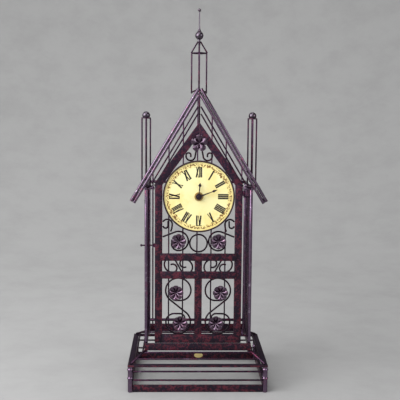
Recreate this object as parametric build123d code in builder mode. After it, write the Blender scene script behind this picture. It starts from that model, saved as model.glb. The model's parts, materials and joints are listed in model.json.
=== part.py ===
from build123d import *
import os
from math import acos, asin, atan2, ceil, cos, degrees, hypot, pi, radians, sin, sqrt, tan

# Open-work steeple clock of welded round rod and flat bar.
# Millimetres, +Z up, the front faces -Y, origin on the floor under the middle of the base.

# Stock and fits
rod_d = 3.2
rail_d = 6.4
bar_width = 16.0
bar_thick = 3.2
weld_gap = 0.1
running_fit = 0.05
push_fit = 0.02
moving_gap = 0.3
rod_side_count = 8
turned_side_count = 12

# Dial and front panel
dial_ring_d = 153.4
dial_ring_wall = 3.2
dial_ring_depth = 6.0
dial_ring_front = 2.0
dial_thick = 1.5
dial_recess = 0.5
dial_side_gap = 0.65
gable_angle = 53.9
panel_front = 79.5
door_gap = 0.8
bottom_rail_width = 18.2
crossbar_lap = 2.2
crossbar_on_stile = 4.0
pane_height = 23.0
upper_ring_lift = 4.1
ring_below_dial = 7.56

# Scrolls of square bar, as radii of the bar's centre line
low_loop_r = 26.5
low_curl_r = 18.0
high_loop_r = 27.2
high_curl_r = 22.0
loop_pitch = 69.1
upper_ring_share = 0.4874
upper_curl_r = 15.0
hub_curl_r = 7.5
low_hub_curl_r = 10.0
high_hub_curl_r = 9.1
centre_ring_drop = 4.5
middle_rise = 9.9
middle_run = 5.5
middle_outer_r = 13.2
middle_under_r = 18.0
middle_inner_r = 9.0
curl_r = 10.5
hook_beside_ring = 0.95
hook_turn = 170.0
middle_inner_turn = 210.0
gable_loop_share = 0.1252
gable_loop_out_share = 0.2373
gable_hook_share = 0.52
gable_hook_start = 20.0
high_flower_out = 5.3
low_flower_in = 4.0

# Pressed rosettes
rosette_r = 16.6
rosette_petals = 8
rosette_notch = 0.14
rosette_dish = 3.4
rosette_thick = 1.2
rosette_hub = 0.33
petal_points = 3
gable_flower_r = 18.6
gable_flower_petals = 5
gable_flower_notch = 0.42
gable_flower_drop = 17.6

# Tower
post_beside_door = 18.65
post_d = 7.0
tower_post_y = 75.0
post_below_bar = 7.0
rail_below_shoulder = 11.9
rail_beside_door = 1.0
back_rod_pitch = 33.0
back_rod_beside_post = 9.0
back_cross_height = 11.0
side_rod_count = 3

# Base and deck
deck_run_x = 32.0
deck_run_y = 39.0
deck_rise = 21.0
deck_steps = (0.36, 0.84)
base_post_d = 10.8
base_bead_d = 13.2
base_bead_height = 5.0
base_bead_above_rod = 4.6
base_rod_heights = (26.0, 45.0)
base_height = 60.0
base_top_width = 12.0
base_top_thick = 4.0
plate_width = 21.0
plate_height = 12.0
plate_shift = 6.5
plate_thick = 1.0

# Roof
roof_angle = 59.2
roof_front = 93.0
rafter_d = 5.6
rafter_spacing = 7.0
eave_overhang = 31.0
outer_chevron_drop = 22.4
inner_chevron_drop = 37.4
king_overlap = 2.0

# Turrets
turret_r = 8.8
turret_height = 141.0
turret_foot_r = 13.0
turret_foot_thick = 2.0
turret_cap_thick = 2.4
turret_ball_d = 16.6
turret_ball_foot = 30.0
ball_step = 32.0
ball_end = 75.0

# Belfry and finial
belfry_r = 16.2
belfry_side_drop = 6.0
belfry_height = 79.2
belfry_cap_rise = 21.0
finial_neck_d = 5.0
finial_neck_length = 12.0
finial_neck_rise = 6.2
finial_ball_d = 18.0
finial_cone_d = 7.4
finial_cone_rise = 12.5
finial_spike_d = 2.2
finial_spike_length = 30.0
finial_tip_d = 7.0

# Hinge and latch
knuckle_d = 6.4
knuckle_length = 12.0
pintle_d = 3.0
pintle_length = 10.0
hinge_back = 3.0
lower_hinge_height = 15.2
upper_hinge_below_shoulder = 30.0
latch_d = 3.0
latch_back = 5.2
latch_travel = 4.0
latch_bite = 4.6
latch_ball_d = 5.2
latch_height = 213.2
eye_width = 8.0
eye_lap = 5.0
eye_back = 8.5

# Quartz movement and hands
case_width = 56.0
case_depth = 18.0
case_wall = 1.5
bush_d = 8.0
bush_bore = 5.1
bush_length = 5.0
nut_d = 19.0
nut_thick = 2.4
gear_module = 0.5
addendum = 0.9
dedendum = 1.25
root_share = 0.52
tip_share = 0.2
cannon_teeth = 10
motion_teeth = 30
motion_pinion_teeth = 8
hour_teeth = 32
wheel_thick = 2.0
pinion_length = 2.7
wheel_back = 5.5
train_step = 3.5
arbor_d = 3.0
motion_arbor_d = 2.0
pivot_depth = 1.0
arbor_boss_d = 6.0
arbor_boss_length = 3.0
knob_d = 13.0
knob_length = 6.0
knob_gap = 1.0
battery_d = 14.2
battery_length = 48.0
battery_nub_d = 5.4
battery_nub_length = 1.5
contact_thick = 0.6
contact_width = 9.0
board_width = 14.0
board_height = 24.0
board_thick = 1.2
stator_width = 12.0
stator_height = 28.0
stator_thick = 2.2
stator_drop = 4.7
coil_d = 6.0
coil_length = 18.0
motor_offset = 18.0
hub_d = 13.0
hand_thick = 0.9
spade_share = 0.083
shaft_share = 0.7
hand_spacing = 1.2
hour_hand_length = 30.0
minute_hand_length = 43.0
hour_hand_angle = 5.0
minute_hand_angle = 68.7
hand_nut_d = 5.6
hand_nut_length = 2.2
hand_nut_depth = 1.3

# Values worked out from the sizes above
rod_r = rod_d / 2
rail_r = rail_d / 2
rafter_r = rafter_d / 2
post_r = post_d / 2
base_post_r = base_post_d / 2
ring_r = dial_ring_d / 2
stile_inner = ring_r + dial_side_gap
door_half = stile_inner + bar_width
panel_back = panel_front - bar_thick
panel_middle = panel_front - bar_thick / 2
scroll_r = bar_thick / 2 - weld_gap / 2

tower_post_x = door_half + post_beside_door
base_post_x = tower_post_x + deck_run_x
base_post_y = tower_post_y + deck_run_y
base_half_x = base_post_x + base_post_r
base_half_y = base_post_y + base_post_r

bar_bottom = base_height + deck_rise
bar_top = bar_bottom + bar_width
door_bottom = bar_top + door_gap
rail_top = door_bottom + bottom_rail_width
scroll_x = (bar_width / 2 + stile_inner) / 2
low_loop_z = rail_top + low_loop_r + scroll_r + weld_gap
high_loop_z = low_loop_z + loop_pitch
low_crossbar = high_loop_z + high_loop_r + scroll_r - crossbar_lap
high_crossbar = low_crossbar + bar_width + pane_height
middle_z = (low_crossbar + bar_width + high_crossbar) / 2
crossbar_top = high_crossbar + bar_width
upper_ring_r = upper_ring_share * scroll_x
upper_ring_z = crossbar_top + upper_ring_r + scroll_r + upper_ring_lift
dial_z = upper_ring_z + sqrt((ring_r + upper_ring_r + ring_below_dial) ** 2 - scroll_x**2)

gable_slope = tan(radians(gable_angle))
gable_inner_apex = dial_z + (ring_r + weld_gap) / cos(radians(gable_angle))
gable_outer_apex = gable_inner_apex + bar_width / cos(radians(gable_angle))
shoulder_outer = gable_outer_apex - gable_slope * door_half
shoulder_inner = gable_inner_apex - gable_slope * stile_inner

rail_z = shoulder_outer - rail_below_shoulder
post_top = rail_z - rail_r - weld_gap
post_bottom = bar_bottom - post_below_bar
frame_line = panel_back - rod_r - moving_gap

roof_slope = tan(radians(roof_angle))
roof_cos = cos(radians(roof_angle))
roof_sin = sin(radians(roof_angle))
inner_apex = rail_z + (rail_r + rafter_r + weld_gap) / roof_cos + roof_slope * tower_post_x
outer_apex = inner_apex + rafter_spacing / roof_cos
ridge_z = (inner_apex + outer_apex) / 2
eave_x = tower_post_x + eave_overhang

hinge_x = door_half + knuckle_d / 2 + weld_gap
hinge_line = panel_front - hinge_back
latch_line = panel_front - latch_back
latch_z = door_bottom + latch_height

os.makedirs("parts", exist_ok=True)


def rod(start, end, diameter=rod_d):
    """A straight rod from one point to another, drawn with a few flats because it repeats so often."""
    run = Vector(*end) - Vector(*start)
    with BuildPart() as piece:
        with BuildSketch(Plane(origin=start, z_dir=run)):
            RegularPolygon(diameter / 2, rod_side_count)
        extrude(amount=run.length)
    return piece.part


def round_bar(start, end, diameter):
    """A straight round bar from one point to another."""
    run = Vector(*end) - Vector(*start)
    with BuildPart() as piece:
        with BuildSketch(Plane(origin=start, z_dir=run)):
            Circle(diameter / 2)
        extrude(amount=run.length)
    return piece.part


def face_plane(x, back, z):
    """The upright plane through a point, seen from the front, with X to the right and Z up."""
    return Plane(origin=(x, -back, z), x_dir=(1, 0, 0), z_dir=(0, -1, 0))


def block(low, high):
    """A straight flat bar between two opposite corners."""
    size = Vector(*high) - Vector(*low)
    with BuildPart() as piece:
        with BuildSketch(Plane(origin=low)):
            Rectangle(size.X, size.Y, align=(Align.MIN, Align.MIN))
        extrude(amount=size.Z)
    return piece.part


def turned(x, y, profile):
    """An upright turned piece through pairs of height and radius, drawn with a few flats."""
    with BuildPart() as piece:
        for height, radius in profile:
            with BuildSketch(Plane(origin=(x, y, height))):
                RegularPolygon(radius, turned_side_count)
        loft(ruled=True)
    return piece.part


def ball_profile(middle, radius, low, high):
    """Pairs of height and radius that follow a ball between two heights."""
    start = asin((low - middle) / radius)
    finish = asin((high - middle) / radius)
    steps = ceil((finish - start) / radians(ball_step))
    angles = [start + (finish - start) * index / steps for index in range(steps + 1)]
    return [(middle + radius * sin(angle), radius * cos(angle)) for angle in angles]


def bent_bar(path):
    """A square scroll bar that follows a line drawn by a BuildLine block in the panel."""
    with BuildPart() as piece:
        with BuildSketch(Plane(origin=path.line @ 0, x_dir=(0, 1, 0), z_dir=path.line % 0)):
            Rectangle(2 * scroll_r, 2 * scroll_r)
        sweep(path=path.line)
    return piece.part


def petal_outline(radius, petals, notch):
    """Points round a flower whose petals part at pointed notches, the first one at the top."""
    points = []
    for index in range(petals * petal_points):
        share = 1 - notch * (1 - sin(pi * (index % petal_points) / petal_points)) ** 2
        angle = 2 * pi * (index - petal_points / 2) / (petals * petal_points)
        points.append((radius * share * sin(angle), radius * share * cos(angle)))
    return points


def rosette(x, z, radius, petals, notch):
    """A pressed sheet flower with fluted petals, dished towards the front."""
    seat = panel_front + weld_gap
    rim = seat + rosette_dish + rosette_thick
    hub = radius * rosette_hub
    with BuildPart() as piece:
        for back, size in ((seat, hub), (rim, radius)):
            with BuildSketch(face_plane(x, back, z)):
                Polygon(*petal_outline(size, petals, notch), align=None)
        loft(ruled=True)
        for back, size in ((seat + rosette_thick, hub), (rim, radius - rosette_thick)):
            with BuildSketch(face_plane(x, back, z)):
                Polygon(*petal_outline(size, petals, notch), align=None)
        loft(ruled=True, mode=Mode.SUBTRACT)
    return piece.part


def gear(teeth, back, length, centre_z, tooth_angle):
    """A toothed wheel about an axis along Y, with one tooth centred on the given angle."""
    pitch_r = gear_module * teeth / 2
    root_r = pitch_r - dedendum * gear_module
    tip_r = pitch_r + addendum * gear_module
    root_half = root_share * pi * gear_module / 2
    tip_half = tip_share * pi * gear_module / 2
    steps = ((root_r, -root_half), (tip_r, -tip_half), (tip_r, tip_half), (root_r, root_half))
    outline = []
    for tooth in range(teeth):
        middle = radians(tooth_angle) + 2 * pi * tooth / teeth
        for radius, offset in steps:
            angle = middle + offset / radius
            outline.append((radius * cos(angle), radius * sin(angle)))
    with BuildPart() as piece:
        with BuildSketch(face_plane(0, back, centre_z)):
            with BuildLine():
                Polyline(*outline, close=True)
            make_face()
        extrude(amount=length)
    return piece.part


def disc(x, z, diameter, back, length, bore=0.0):
    """A round plate or sleeve about an axis along Y."""
    with BuildPart() as piece:
        with BuildSketch(face_plane(x, back, z)):
            Circle(diameter / 2)
            if bore:
                Circle(bore / 2, mode=Mode.SUBTRACT)
        extrude(amount=length)
    return piece.part


def rafter(side, apex, depth, first, last, diameter=rod_d):
    """A rod parallel to the roof, between two distances from the middle."""
    start = (side * first, depth, apex - roof_slope * first)
    end = (side * last, depth, apex - roof_slope * last)
    return rod(start, end, diameter)


# Base: flat bars on edge between the corner posts
with BuildPart() as base_bottom_bars:
    reach_x = base_post_x - base_post_r - weld_gap
    reach_y = base_post_y - base_post_r - weld_gap
    for side in (-1, 1):
        line_y = side * base_post_y
        line_x = side * base_post_x
        add(block((-reach_x, line_y - bar_thick / 2, 0), (reach_x, line_y + bar_thick / 2, bar_width)))
        add(block((line_x - bar_thick / 2, -reach_y, 0), (line_x + bar_thick / 2, reach_y, bar_width)))
base_bottom_bars.part.label = "base_bottom_bars"
export_step(base_bottom_bars.part, "parts/base_bottom_bars.step")

# Base: turned corner posts with a bead over each rod
with BuildPart() as base_corner_posts:
    post_profile = [(0, base_post_r)]
    for height in base_rod_heights:
        bead = height + base_bead_above_rod
        post_profile.append((bead - base_bead_height / 2, base_post_r))
        post_profile.append((bead - base_bead_height / 4, base_bead_d / 2))
        post_profile.append((bead + base_bead_height / 4, base_bead_d / 2))
        post_profile.append((bead + base_bead_height / 2, base_post_r))
    post_profile.append((base_height - base_top_thick, base_post_r))
    for side_x in (-1, 1):
        for side_y in (-1, 1):
            add(turned(side_x * base_post_x, side_y * base_post_y, post_profile))
base_corner_posts.part.label = "base_corner_posts"
export_step(base_corner_posts.part, "parts/base_corner_posts.step")

# Base: two rings of thin rods between the posts
with BuildPart() as base_rail_rods:
    for height in base_rod_heights:
        for side in (-1, 1):
            add(rod((-reach_x, side * base_post_y, height), (reach_x, side * base_post_y, height)))
            add(rod((side * base_post_x, -reach_y, height), (side * base_post_x, reach_y, height)))
base_rail_rods.part.label = "base_rail_rods"
export_step(base_rail_rods.part, "parts/base_rail_rods.step")

# Base: flat top frame, the long bars run through
with BuildPart() as base_top_bars:
    low = base_height - base_top_thick
    for side in (-1, 1):
        edges_y = sorted((side * base_half_y, side * (base_half_y - base_top_width)))
        edges_x = sorted((side * base_half_x, side * (base_half_x - base_top_width)))
        inside_y = base_half_y - base_top_width - weld_gap
        add(block((-base_half_x, edges_y[0], low), (base_half_x, edges_y[1], base_height)))
        add(block((edges_x[0], -inside_y, low), (edges_x[1], inside_y, base_height)))
base_top_bars.part.label = "base_top_bars"
export_step(base_top_bars.part, "parts/base_top_bars.step")

# Deck: hip rods from the base's corners to the tower's posts
hip_out = base_top_width / 2
hip_run = hypot(base_half_x - hip_out - tower_post_x, base_half_y - hip_out - tower_post_y)
hip_tilt = atan2(deck_rise - rod_d, hip_run)
hip_low = base_height + rod_r * cos(hip_tilt) + weld_gap
hip_high = bar_bottom - rod_r
hip_clear = (post_r + rod_r * sin(hip_tilt) + weld_gap) / hip_run
hip_start = (base_half_x - hip_out, base_half_y - hip_out)
hip_end = (
    tower_post_x + hip_clear * (hip_start[0] - tower_post_x),
    tower_post_y + hip_clear * (hip_start[1] - tower_post_y),
)
with BuildPart() as deck_hip_rods:
    for side_x in (-1, 1):
        for side_y in (-1, 1):
            add(
                rod(
                    (side_x * hip_start[0], side_y * hip_start[1], hip_low),
                    (side_x * hip_end[0], side_y * hip_end[1], hip_high),
                )
            )
deck_hip_rods.part.label = "deck_hip_rods"
export_step(deck_hip_rods.part, "parts/deck_hip_rods.step")

# Deck: step rods between the hips
with BuildPart() as deck_step_rods:
    corner = rod_r + sqrt(2) * (rod_r + weld_gap)
    for share in deck_steps:
        step_x = hip_start[0] + share * (hip_end[0] - hip_start[0])
        step_y = hip_start[1] + share * (hip_end[1] - hip_start[1])
        step_z = hip_low + share * (hip_high - hip_low)
        for side in (-1, 1):
            add(rod((corner - step_x, side * step_y, step_z), (step_x - corner, side * step_y, step_z)))
            add(rod((side * step_x, corner - step_y, step_z), (side * step_x, step_y - corner, step_z)))
deck_step_rods.part.label = "deck_step_rods"
export_step(deck_step_rods.part, "parts/deck_step_rods.step")

# Bare oval plate on the inner face of the base's back bar
with BuildPart() as oval_plate:
    with BuildSketch(face_plane(plate_shift, bar_thick / 2 - base_post_y, bar_width / 2)):
        Ellipse(plate_width / 2, plate_height / 2)
    extrude(amount=plate_thick)
oval_plate.part.label = "oval_plate"
export_step(oval_plate.part, "parts/oval_plate.step")

# Tower: flat bars on edge, the front one across its posts and the others between theirs
with BuildPart() as tower_bottom_bars:
    front_line = -(tower_post_y + post_r + weld_gap + bar_thick / 2)
    front_reach = tower_post_x + post_r
    back_reach = tower_post_x - post_r - weld_gap
    reach_y = tower_post_y - post_r - weld_gap
    for line_y, reach_x in ((front_line, front_reach), (tower_post_y, back_reach)):
        add(
            block(
                (-reach_x, line_y - bar_thick / 2, bar_bottom),
                (reach_x, line_y + bar_thick / 2, bar_top),
            )
        )
    for side in (-1, 1):
        line_x = side * tower_post_x
        add(
            block(
                (line_x - bar_thick / 2, -reach_y, bar_bottom),
                (line_x + bar_thick / 2, reach_y, bar_top),
            )
        )
tower_bottom_bars.part.label = "tower_bottom_bars"
export_step(tower_bottom_bars.part, "parts/tower_bottom_bars.step")

# Tower: corner posts, the left front one drilled for the latch pin
with BuildPart() as tower_corner_posts:
    for side_x in (-1, 1):
        for side_y in (-1, 1):
            place = (side_x * tower_post_x, side_y * tower_post_y)
            add(round_bar((*place, post_bottom), (*place, post_top), post_d))
    with BuildSketch(Plane(origin=(-tower_post_x - post_d, -latch_line, latch_z), z_dir=(1, 0, 0))):
        Circle(latch_d / 2 + running_fit)
    extrude(amount=2 * post_d, mode=Mode.SUBTRACT)
tower_corner_posts.part.label = "tower_corner_posts"
export_step(tower_corner_posts.part, "parts/tower_corner_posts.step")

# Tower: thin rods in the side walls
with BuildPart() as side_wall_rods:
    pitch_y = 2 * tower_post_y / (side_rod_count + 1)
    for side in (-1, 1):
        for index in range(side_rod_count):
            place = (side * tower_post_x, (index + 1) * pitch_y - tower_post_y)
            add(rod((*place, bar_top + weld_gap), (*place, rail_z - rail_r - weld_gap)))
side_wall_rods.part.label = "side_wall_rods"
export_step(side_wall_rods.part, "parts/side_wall_rods.step")

# Tower: thin rods in the back wall, up to the back rafters
with BuildPart() as back_wall_rods:
    outermost = tower_post_x - back_rod_beside_post
    places = [step * back_rod_pitch for step in range(-2, 3)]
    for offset in (-outermost, *places, outermost):
        under = rod_r / roof_cos + roof_slope * (abs(offset) + rod_r)
        top = min(outer_apex - under - weld_gap, ridge_z - rod_d)
        add(rod((offset, tower_post_y, bar_top + weld_gap), (offset, tower_post_y, top)))
back_wall_rods.part.label = "back_wall_rods"
export_step(back_wall_rods.part, "parts/back_wall_rods.step")

# Tower: cross rods welded to the inner side of the back wall
with BuildPart() as back_cross_rods:
    inside = tower_post_y - rod_r - rail_r - weld_gap
    low_reach = tower_post_x - post_r
    high_reach = tower_post_x - rail_r - weld_gap
    for reach, level in ((low_reach, bar_top + back_cross_height), (high_reach, rail_z)):
        add(rod((-reach, inside, level), (reach, inside, level), rail_d))
back_cross_rods.part.label = "back_cross_rods"
export_step(back_cross_rods.part, "parts/back_cross_rods.step")

# Roof: paired front rafters and single back rafters
with BuildPart() as front_rafters:
    meet = rafter_r * roof_sin + weld_gap / 2
    inner_end = eave_x - rafter_spacing * roof_sin
    for side in (-1, 1):
        add(rafter(side, outer_apex, -roof_front, meet, eave_x, rafter_d))
        add(rafter(side, inner_apex, -roof_front, meet, inner_end, rafter_d))
front_rafters.part.label = "front_rafters"
export_step(front_rafters.part, "parts/front_rafters.step")

with BuildPart() as back_rafters:
    meet = rod_r * roof_sin + weld_gap / 2
    for side in (-1, 1):
        add(rafter(side, outer_apex, tower_post_y, meet, eave_x))
back_rafters.part.label = "back_rafters"
export_step(back_rafters.part, "parts/back_rafters.step")

# Roof: ridge and eave rods butt against the front rafters, midway between the two of a pair
with BuildPart() as roof_purlins:
    front = sqrt(rafter_r**2 - (rafter_spacing / 2 - rod_r) ** 2) - roof_front
    rear = tower_post_y + rod_r
    along = eave_x - rafter_spacing / 2 * roof_sin - rod_d * roof_cos
    for place in (-along, 0, along):
        level = ridge_z - roof_slope * abs(place)
        add(rod((place, front, level), (place, rear, level)))
roof_purlins.part.label = "roof_purlins"
export_step(roof_purlins.part, "parts/roof_purlins.step")

# Front gable of the tower: king rod and two chevrons
outer_chevron = inner_apex - outer_chevron_drop
inner_chevron = inner_apex - inner_chevron_drop
with BuildPart() as king_rod:
    foot = gable_outer_apex - king_overlap
    add(rod((0, -frame_line, foot), (0, -frame_line, ridge_z - rod_r - weld_gap)))
king_rod.part.label = "king_rod"
export_step(king_rod.part, "parts/king_rod.step")

turret_inside = tower_post_x - turret_r - rod_r - weld_gap
inner_foot = rail_z + rail_r + weld_gap + rod_r * roof_cos
inner_foot_x = (inner_chevron - inner_foot) / roof_slope
with BuildPart() as gable_chevrons:
    beside_king = rod_r + weld_gap + rod_r * roof_sin
    for side in (-1, 1):
        add(rafter(side, outer_chevron, -frame_line, beside_king, turret_inside - rod_r * roof_sin))
        add(rafter(side, inner_chevron, -frame_line, beside_king, inner_foot_x))
gable_chevrons.part.label = "gable_chevrons"
export_step(gable_chevrons.part, "parts/gable_chevrons.step")

# Tower: top rails along both sides, which carry the roof, and short front rails under the chevrons
with BuildPart() as tower_top_rails:
    for side in (-1, 1):
        front = (side * tower_post_x, -roof_front - rafter_r, rail_z)
        rear = (side * tower_post_x, tower_post_y + post_r, rail_z)
        add(round_bar(front, rear, rail_d))
        inner_end = (side * (door_half + rail_beside_door), -frame_line, rail_z)
        outer_end = (side * (tower_post_x - rail_r - weld_gap), -frame_line, rail_z)
        add(rod(inner_end, outer_end, rail_d))
tower_top_rails.part.label = "tower_top_rails"
export_step(tower_top_rails.part, "parts/tower_top_rails.step")

# Turrets over the front posts
foot_low = rail_z + rail_r + weld_gap
foot_top = foot_low + turret_foot_thick
turret_top = foot_top + turret_height
with BuildPart() as turret_rods:
    for side in (-1, 1):
        for step_x, step_y in ((-1, 0), (1, 0), (0, -1), (0, 1)):
            place = (side * tower_post_x + step_x * turret_r, -tower_post_y + step_y * turret_r)
            add(rod((*place, foot_top + weld_gap), (*place, turret_top)))
turret_rods.part.label = "turret_rods"
export_step(turret_rods.part, "parts/turret_rods.step")

with BuildPart() as turret_plates:
    for side in (-1, 1):
        with BuildSketch(Plane(origin=(side * tower_post_x, -tower_post_y, foot_low))):
            RegularPolygon(turret_foot_r, 4)
        extrude(amount=turret_foot_thick)
        with BuildSketch(Plane(origin=(side * tower_post_x, -tower_post_y, turret_top + weld_gap))):
            Circle(turret_r + rod_r)
        extrude(amount=turret_cap_thick)
turret_plates.part.label = "turret_plates"
export_step(turret_plates.part, "parts/turret_plates.step")

with BuildPart() as turret_balls:
    ball_low = turret_top + turret_cap_thick + 2 * weld_gap
    ball_r = turret_ball_d / 2
    ball_z = ball_low + ball_r * sin(radians(turret_ball_foot))
    ball_points = ball_profile(ball_z, ball_r, ball_low, ball_z + ball_r * sin(radians(ball_end)))
    for side in (-1, 1):
        add(turned(side * tower_post_x, -tower_post_y, ball_points))
turret_balls.part.label = "turret_balls"
export_step(turret_balls.part, "parts/turret_balls.step")

# Belfry: a square cage set cornerwise on the middle of the ridge, its lower ring folded down at both sides
belfry_y = (tower_post_y - roof_front) / 2
belfry_low = ridge_z + rod_d + weld_gap
belfry_side = belfry_low - belfry_side_drop
belfry_top = belfry_low + belfry_height
corners = ((belfry_r, 0), (0, belfry_r), (-belfry_r, 0), (0, -belfry_r))
with BuildPart() as belfry_posts:
    for step_x, step_y in corners:
        foot = belfry_side - rod_d if step_x else ridge_z + rod_r + weld_gap
        place = (step_x, belfry_y + step_y)
        add(rod((*place, foot), (*place, belfry_top)))
belfry_posts.part.label = "belfry_posts"
export_step(belfry_posts.part, "parts/belfry_posts.step")

with BuildPart() as belfry_rings:
    ring_top = belfry_top - rod_r
    for side_level, end_level in ((belfry_side, belfry_low), (ring_top, ring_top)):
        fold = atan2(end_level - side_level, sqrt(2) * belfry_r)
        inset = (rod_r * (1 + sin(fold)) + weld_gap) / sqrt(2)
        for side_x in (-1, 1):
            for side_y in (-1, 1):
                start = (side_x * (belfry_r - inset), belfry_y + side_y * inset, side_level)
                end = (side_x * inset, belfry_y + side_y * (belfry_r - inset), end_level)
                add(rod(start, end))
belfry_rings.part.label = "belfry_rings"
export_step(belfry_rings.part, "parts/belfry_rings.step")

cap_tilt = atan2(belfry_cap_rise, belfry_r - finial_neck_d / 2 - rod_r)
with BuildPart() as belfry_hip_rods:
    low = belfry_top + weld_gap + rod_r * cos(cap_tilt)
    near = finial_neck_d / 2 + rod_r * sin(cap_tilt) + weld_gap
    for step_x, step_y in corners:
        scale = near / belfry_r
        start = (step_x, belfry_y + step_y, low)
        end = (step_x * scale, belfry_y + step_y * scale, belfry_top + belfry_cap_rise)
        add(rod(start, end))
belfry_hip_rods.part.label = "belfry_hip_rods"
export_step(belfry_hip_rods.part, "parts/belfry_hip_rods.step")

# Finial: neck, ball, cone, spike and tip ball turned in one piece
neck_top = belfry_top + belfry_cap_rise + finial_neck_rise
ball_r = finial_ball_d / 2
neck_r = finial_neck_d / 2
cone_r = finial_cone_d / 2
ball_middle = neck_top + sqrt(ball_r**2 - neck_r**2)
cone_low = ball_middle + sqrt(ball_r**2 - cone_r**2)
cone_top = cone_low + finial_cone_rise
spike_top = cone_top + finial_spike_length
spike_r = finial_spike_d / 2
tip_r = finial_tip_d / 2
tip_middle = spike_top + sqrt(tip_r**2 - spike_r**2)
tip_top = tip_middle + tip_r * sin(radians(ball_end))
with BuildPart() as finial:
    finial_profile = [(neck_top - finial_neck_length, neck_r)]
    finial_profile += ball_profile(ball_middle, ball_r, neck_top, cone_low)
    finial_profile.append((cone_top, spike_r))
    finial_profile += ball_profile(tip_middle, tip_r, spike_top, tip_top)
    add(turned(0, belfry_y, finial_profile))
finial.part.label = "finial"
export_step(finial.part, "parts/finial.step")

# Hinge pintles on the right front post: an arm with a pin standing on its end
hinge_levels = (door_bottom + lower_hinge_height, shoulder_outer - upper_hinge_below_shoulder)
with BuildPart() as hinge_pintles:
    beside = max(0, abs(hinge_line - tower_post_y) - rod_r)
    reach = tower_post_x - sqrt(post_r**2 - beside**2) - weld_gap
    for level in hinge_levels:
        pin_top = level + rod_r + pintle_length
        add(rod((hinge_x - pintle_d / 2 - weld_gap, -hinge_line, level), (reach, -hinge_line, level)))
        add(round_bar((hinge_x, -hinge_line, level), (hinge_x, -hinge_line, pin_top), pintle_d))
hinge_pintles.part.label = "hinge_pintles"
export_step(hinge_pintles.part, "parts/hinge_pintles.step")

# Door: flat stiles, gable bars, bottom rail, mullion and lapped crossbars
with BuildPart() as door_stiles:
    with BuildSketch(Plane.XZ.offset(panel_back)):
        with BuildLine():
            Polyline(
                (stile_inner, door_bottom),
                (door_half, door_bottom),
                (door_half, shoulder_outer),
                (stile_inner, shoulder_inner),
                close=True,
            )
        make_face()
        mirror(about=Plane.YZ)
    extrude(amount=bar_thick)
door_stiles.part.label = "door_stiles"
export_step(door_stiles.part, "parts/door_stiles.step")

with BuildPart() as door_gable_bars:
    with BuildSketch(Plane.XZ.offset(panel_back)):
        with BuildLine():
            half_gap = weld_gap / 2
            Polyline(
                (half_gap, gable_inner_apex - gable_slope * half_gap),
                (stile_inner, shoulder_inner),
                (door_half, shoulder_outer),
                (half_gap, gable_outer_apex - gable_slope * half_gap),
                close=True,
            )
        make_face()
        mirror(about=Plane.YZ)
    extrude(amount=bar_thick)
door_gable_bars.part.label = "door_gable_bars"
export_step(door_gable_bars.part, "parts/door_gable_bars.step")

with BuildPart() as door_bottom_rail:
    add(block((-stile_inner, -panel_front, door_bottom), (stile_inner, -panel_back, rail_top)))
door_bottom_rail.part.label = "door_bottom_rail"
export_step(door_bottom_rail.part, "parts/door_bottom_rail.step")

with BuildPart() as door_mullion:
    add(block((-bar_width / 2, -panel_front, rail_top), (bar_width / 2, -panel_back, crossbar_top)))
door_mullion.part.label = "door_mullion"
export_step(door_mullion.part, "parts/door_mullion.step")

crossbar_reach = stile_inner + crossbar_on_stile
with BuildPart() as door_crossbars:
    for level in (low_crossbar, high_crossbar):
        low = (-crossbar_reach, -panel_front - bar_thick, level)
        add(block(low, (crossbar_reach, -panel_front, level + bar_width)))
door_crossbars.part.label = "door_crossbars"
export_step(door_crossbars.part, "parts/door_crossbars.step")

with BuildPart() as hinge_knuckles:
    for level in hinge_levels:
        foot = level + rod_r + moving_gap
        with BuildSketch(Plane(origin=(hinge_x, -hinge_line, foot))):
            Circle(knuckle_d / 2)
            Circle(pintle_d / 2 + running_fit, mode=Mode.SUBTRACT)
        extrude(amount=knuckle_length)
hinge_knuckles.part.label = "hinge_knuckles"
export_step(hinge_knuckles.part, "parts/hinge_knuckles.step")

with BuildPart() as latch_eye:
    reach = door_half + latch_bite
    add(
        block(
            (-reach, -panel_back, latch_z - eye_width / 2),
            (eye_lap - door_half, -panel_front + eye_back, latch_z + eye_width / 2),
        )
    )
    with BuildSketch(Plane(origin=(-reach, -latch_line, latch_z), z_dir=(1, 0, 0))):
        Circle(latch_d / 2 + moving_gap)
    extrude(amount=latch_bite + eye_lap, mode=Mode.SUBTRACT)
latch_eye.part.label = "latch_eye"
export_step(latch_eye.part, "parts/latch_eye.step")

# Latch pin, drawn back clear of its eye, with a ball knob outside the post
with BuildPart() as latch_pin:
    tip = -door_half - latch_bite - moving_gap
    knob_x = -tower_post_x - post_r - latch_travel - moving_gap - latch_ball_d / 2
    knob_r = latch_ball_d / 2
    pin_r = latch_d / 2
    neck = sqrt(knob_r**2 - pin_r**2)
    knob_end = -knob_r * sin(radians(ball_end))
    with BuildSketch(face_plane(knob_x, latch_line, latch_z)):
        with BuildLine():
            Polyline(
                (knob_end, 0),
                *ball_profile(0, knob_r, knob_end, neck),
                (tip - knob_x, pin_r),
                (tip - knob_x, 0),
                close=True,
            )
        make_face()
    revolve(axis=Axis((knob_x, -latch_line, latch_z), (1, 0, 0)))
latch_pin.part.label = "latch_pin"
export_step(latch_pin.part, "parts/latch_pin.step")

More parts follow.
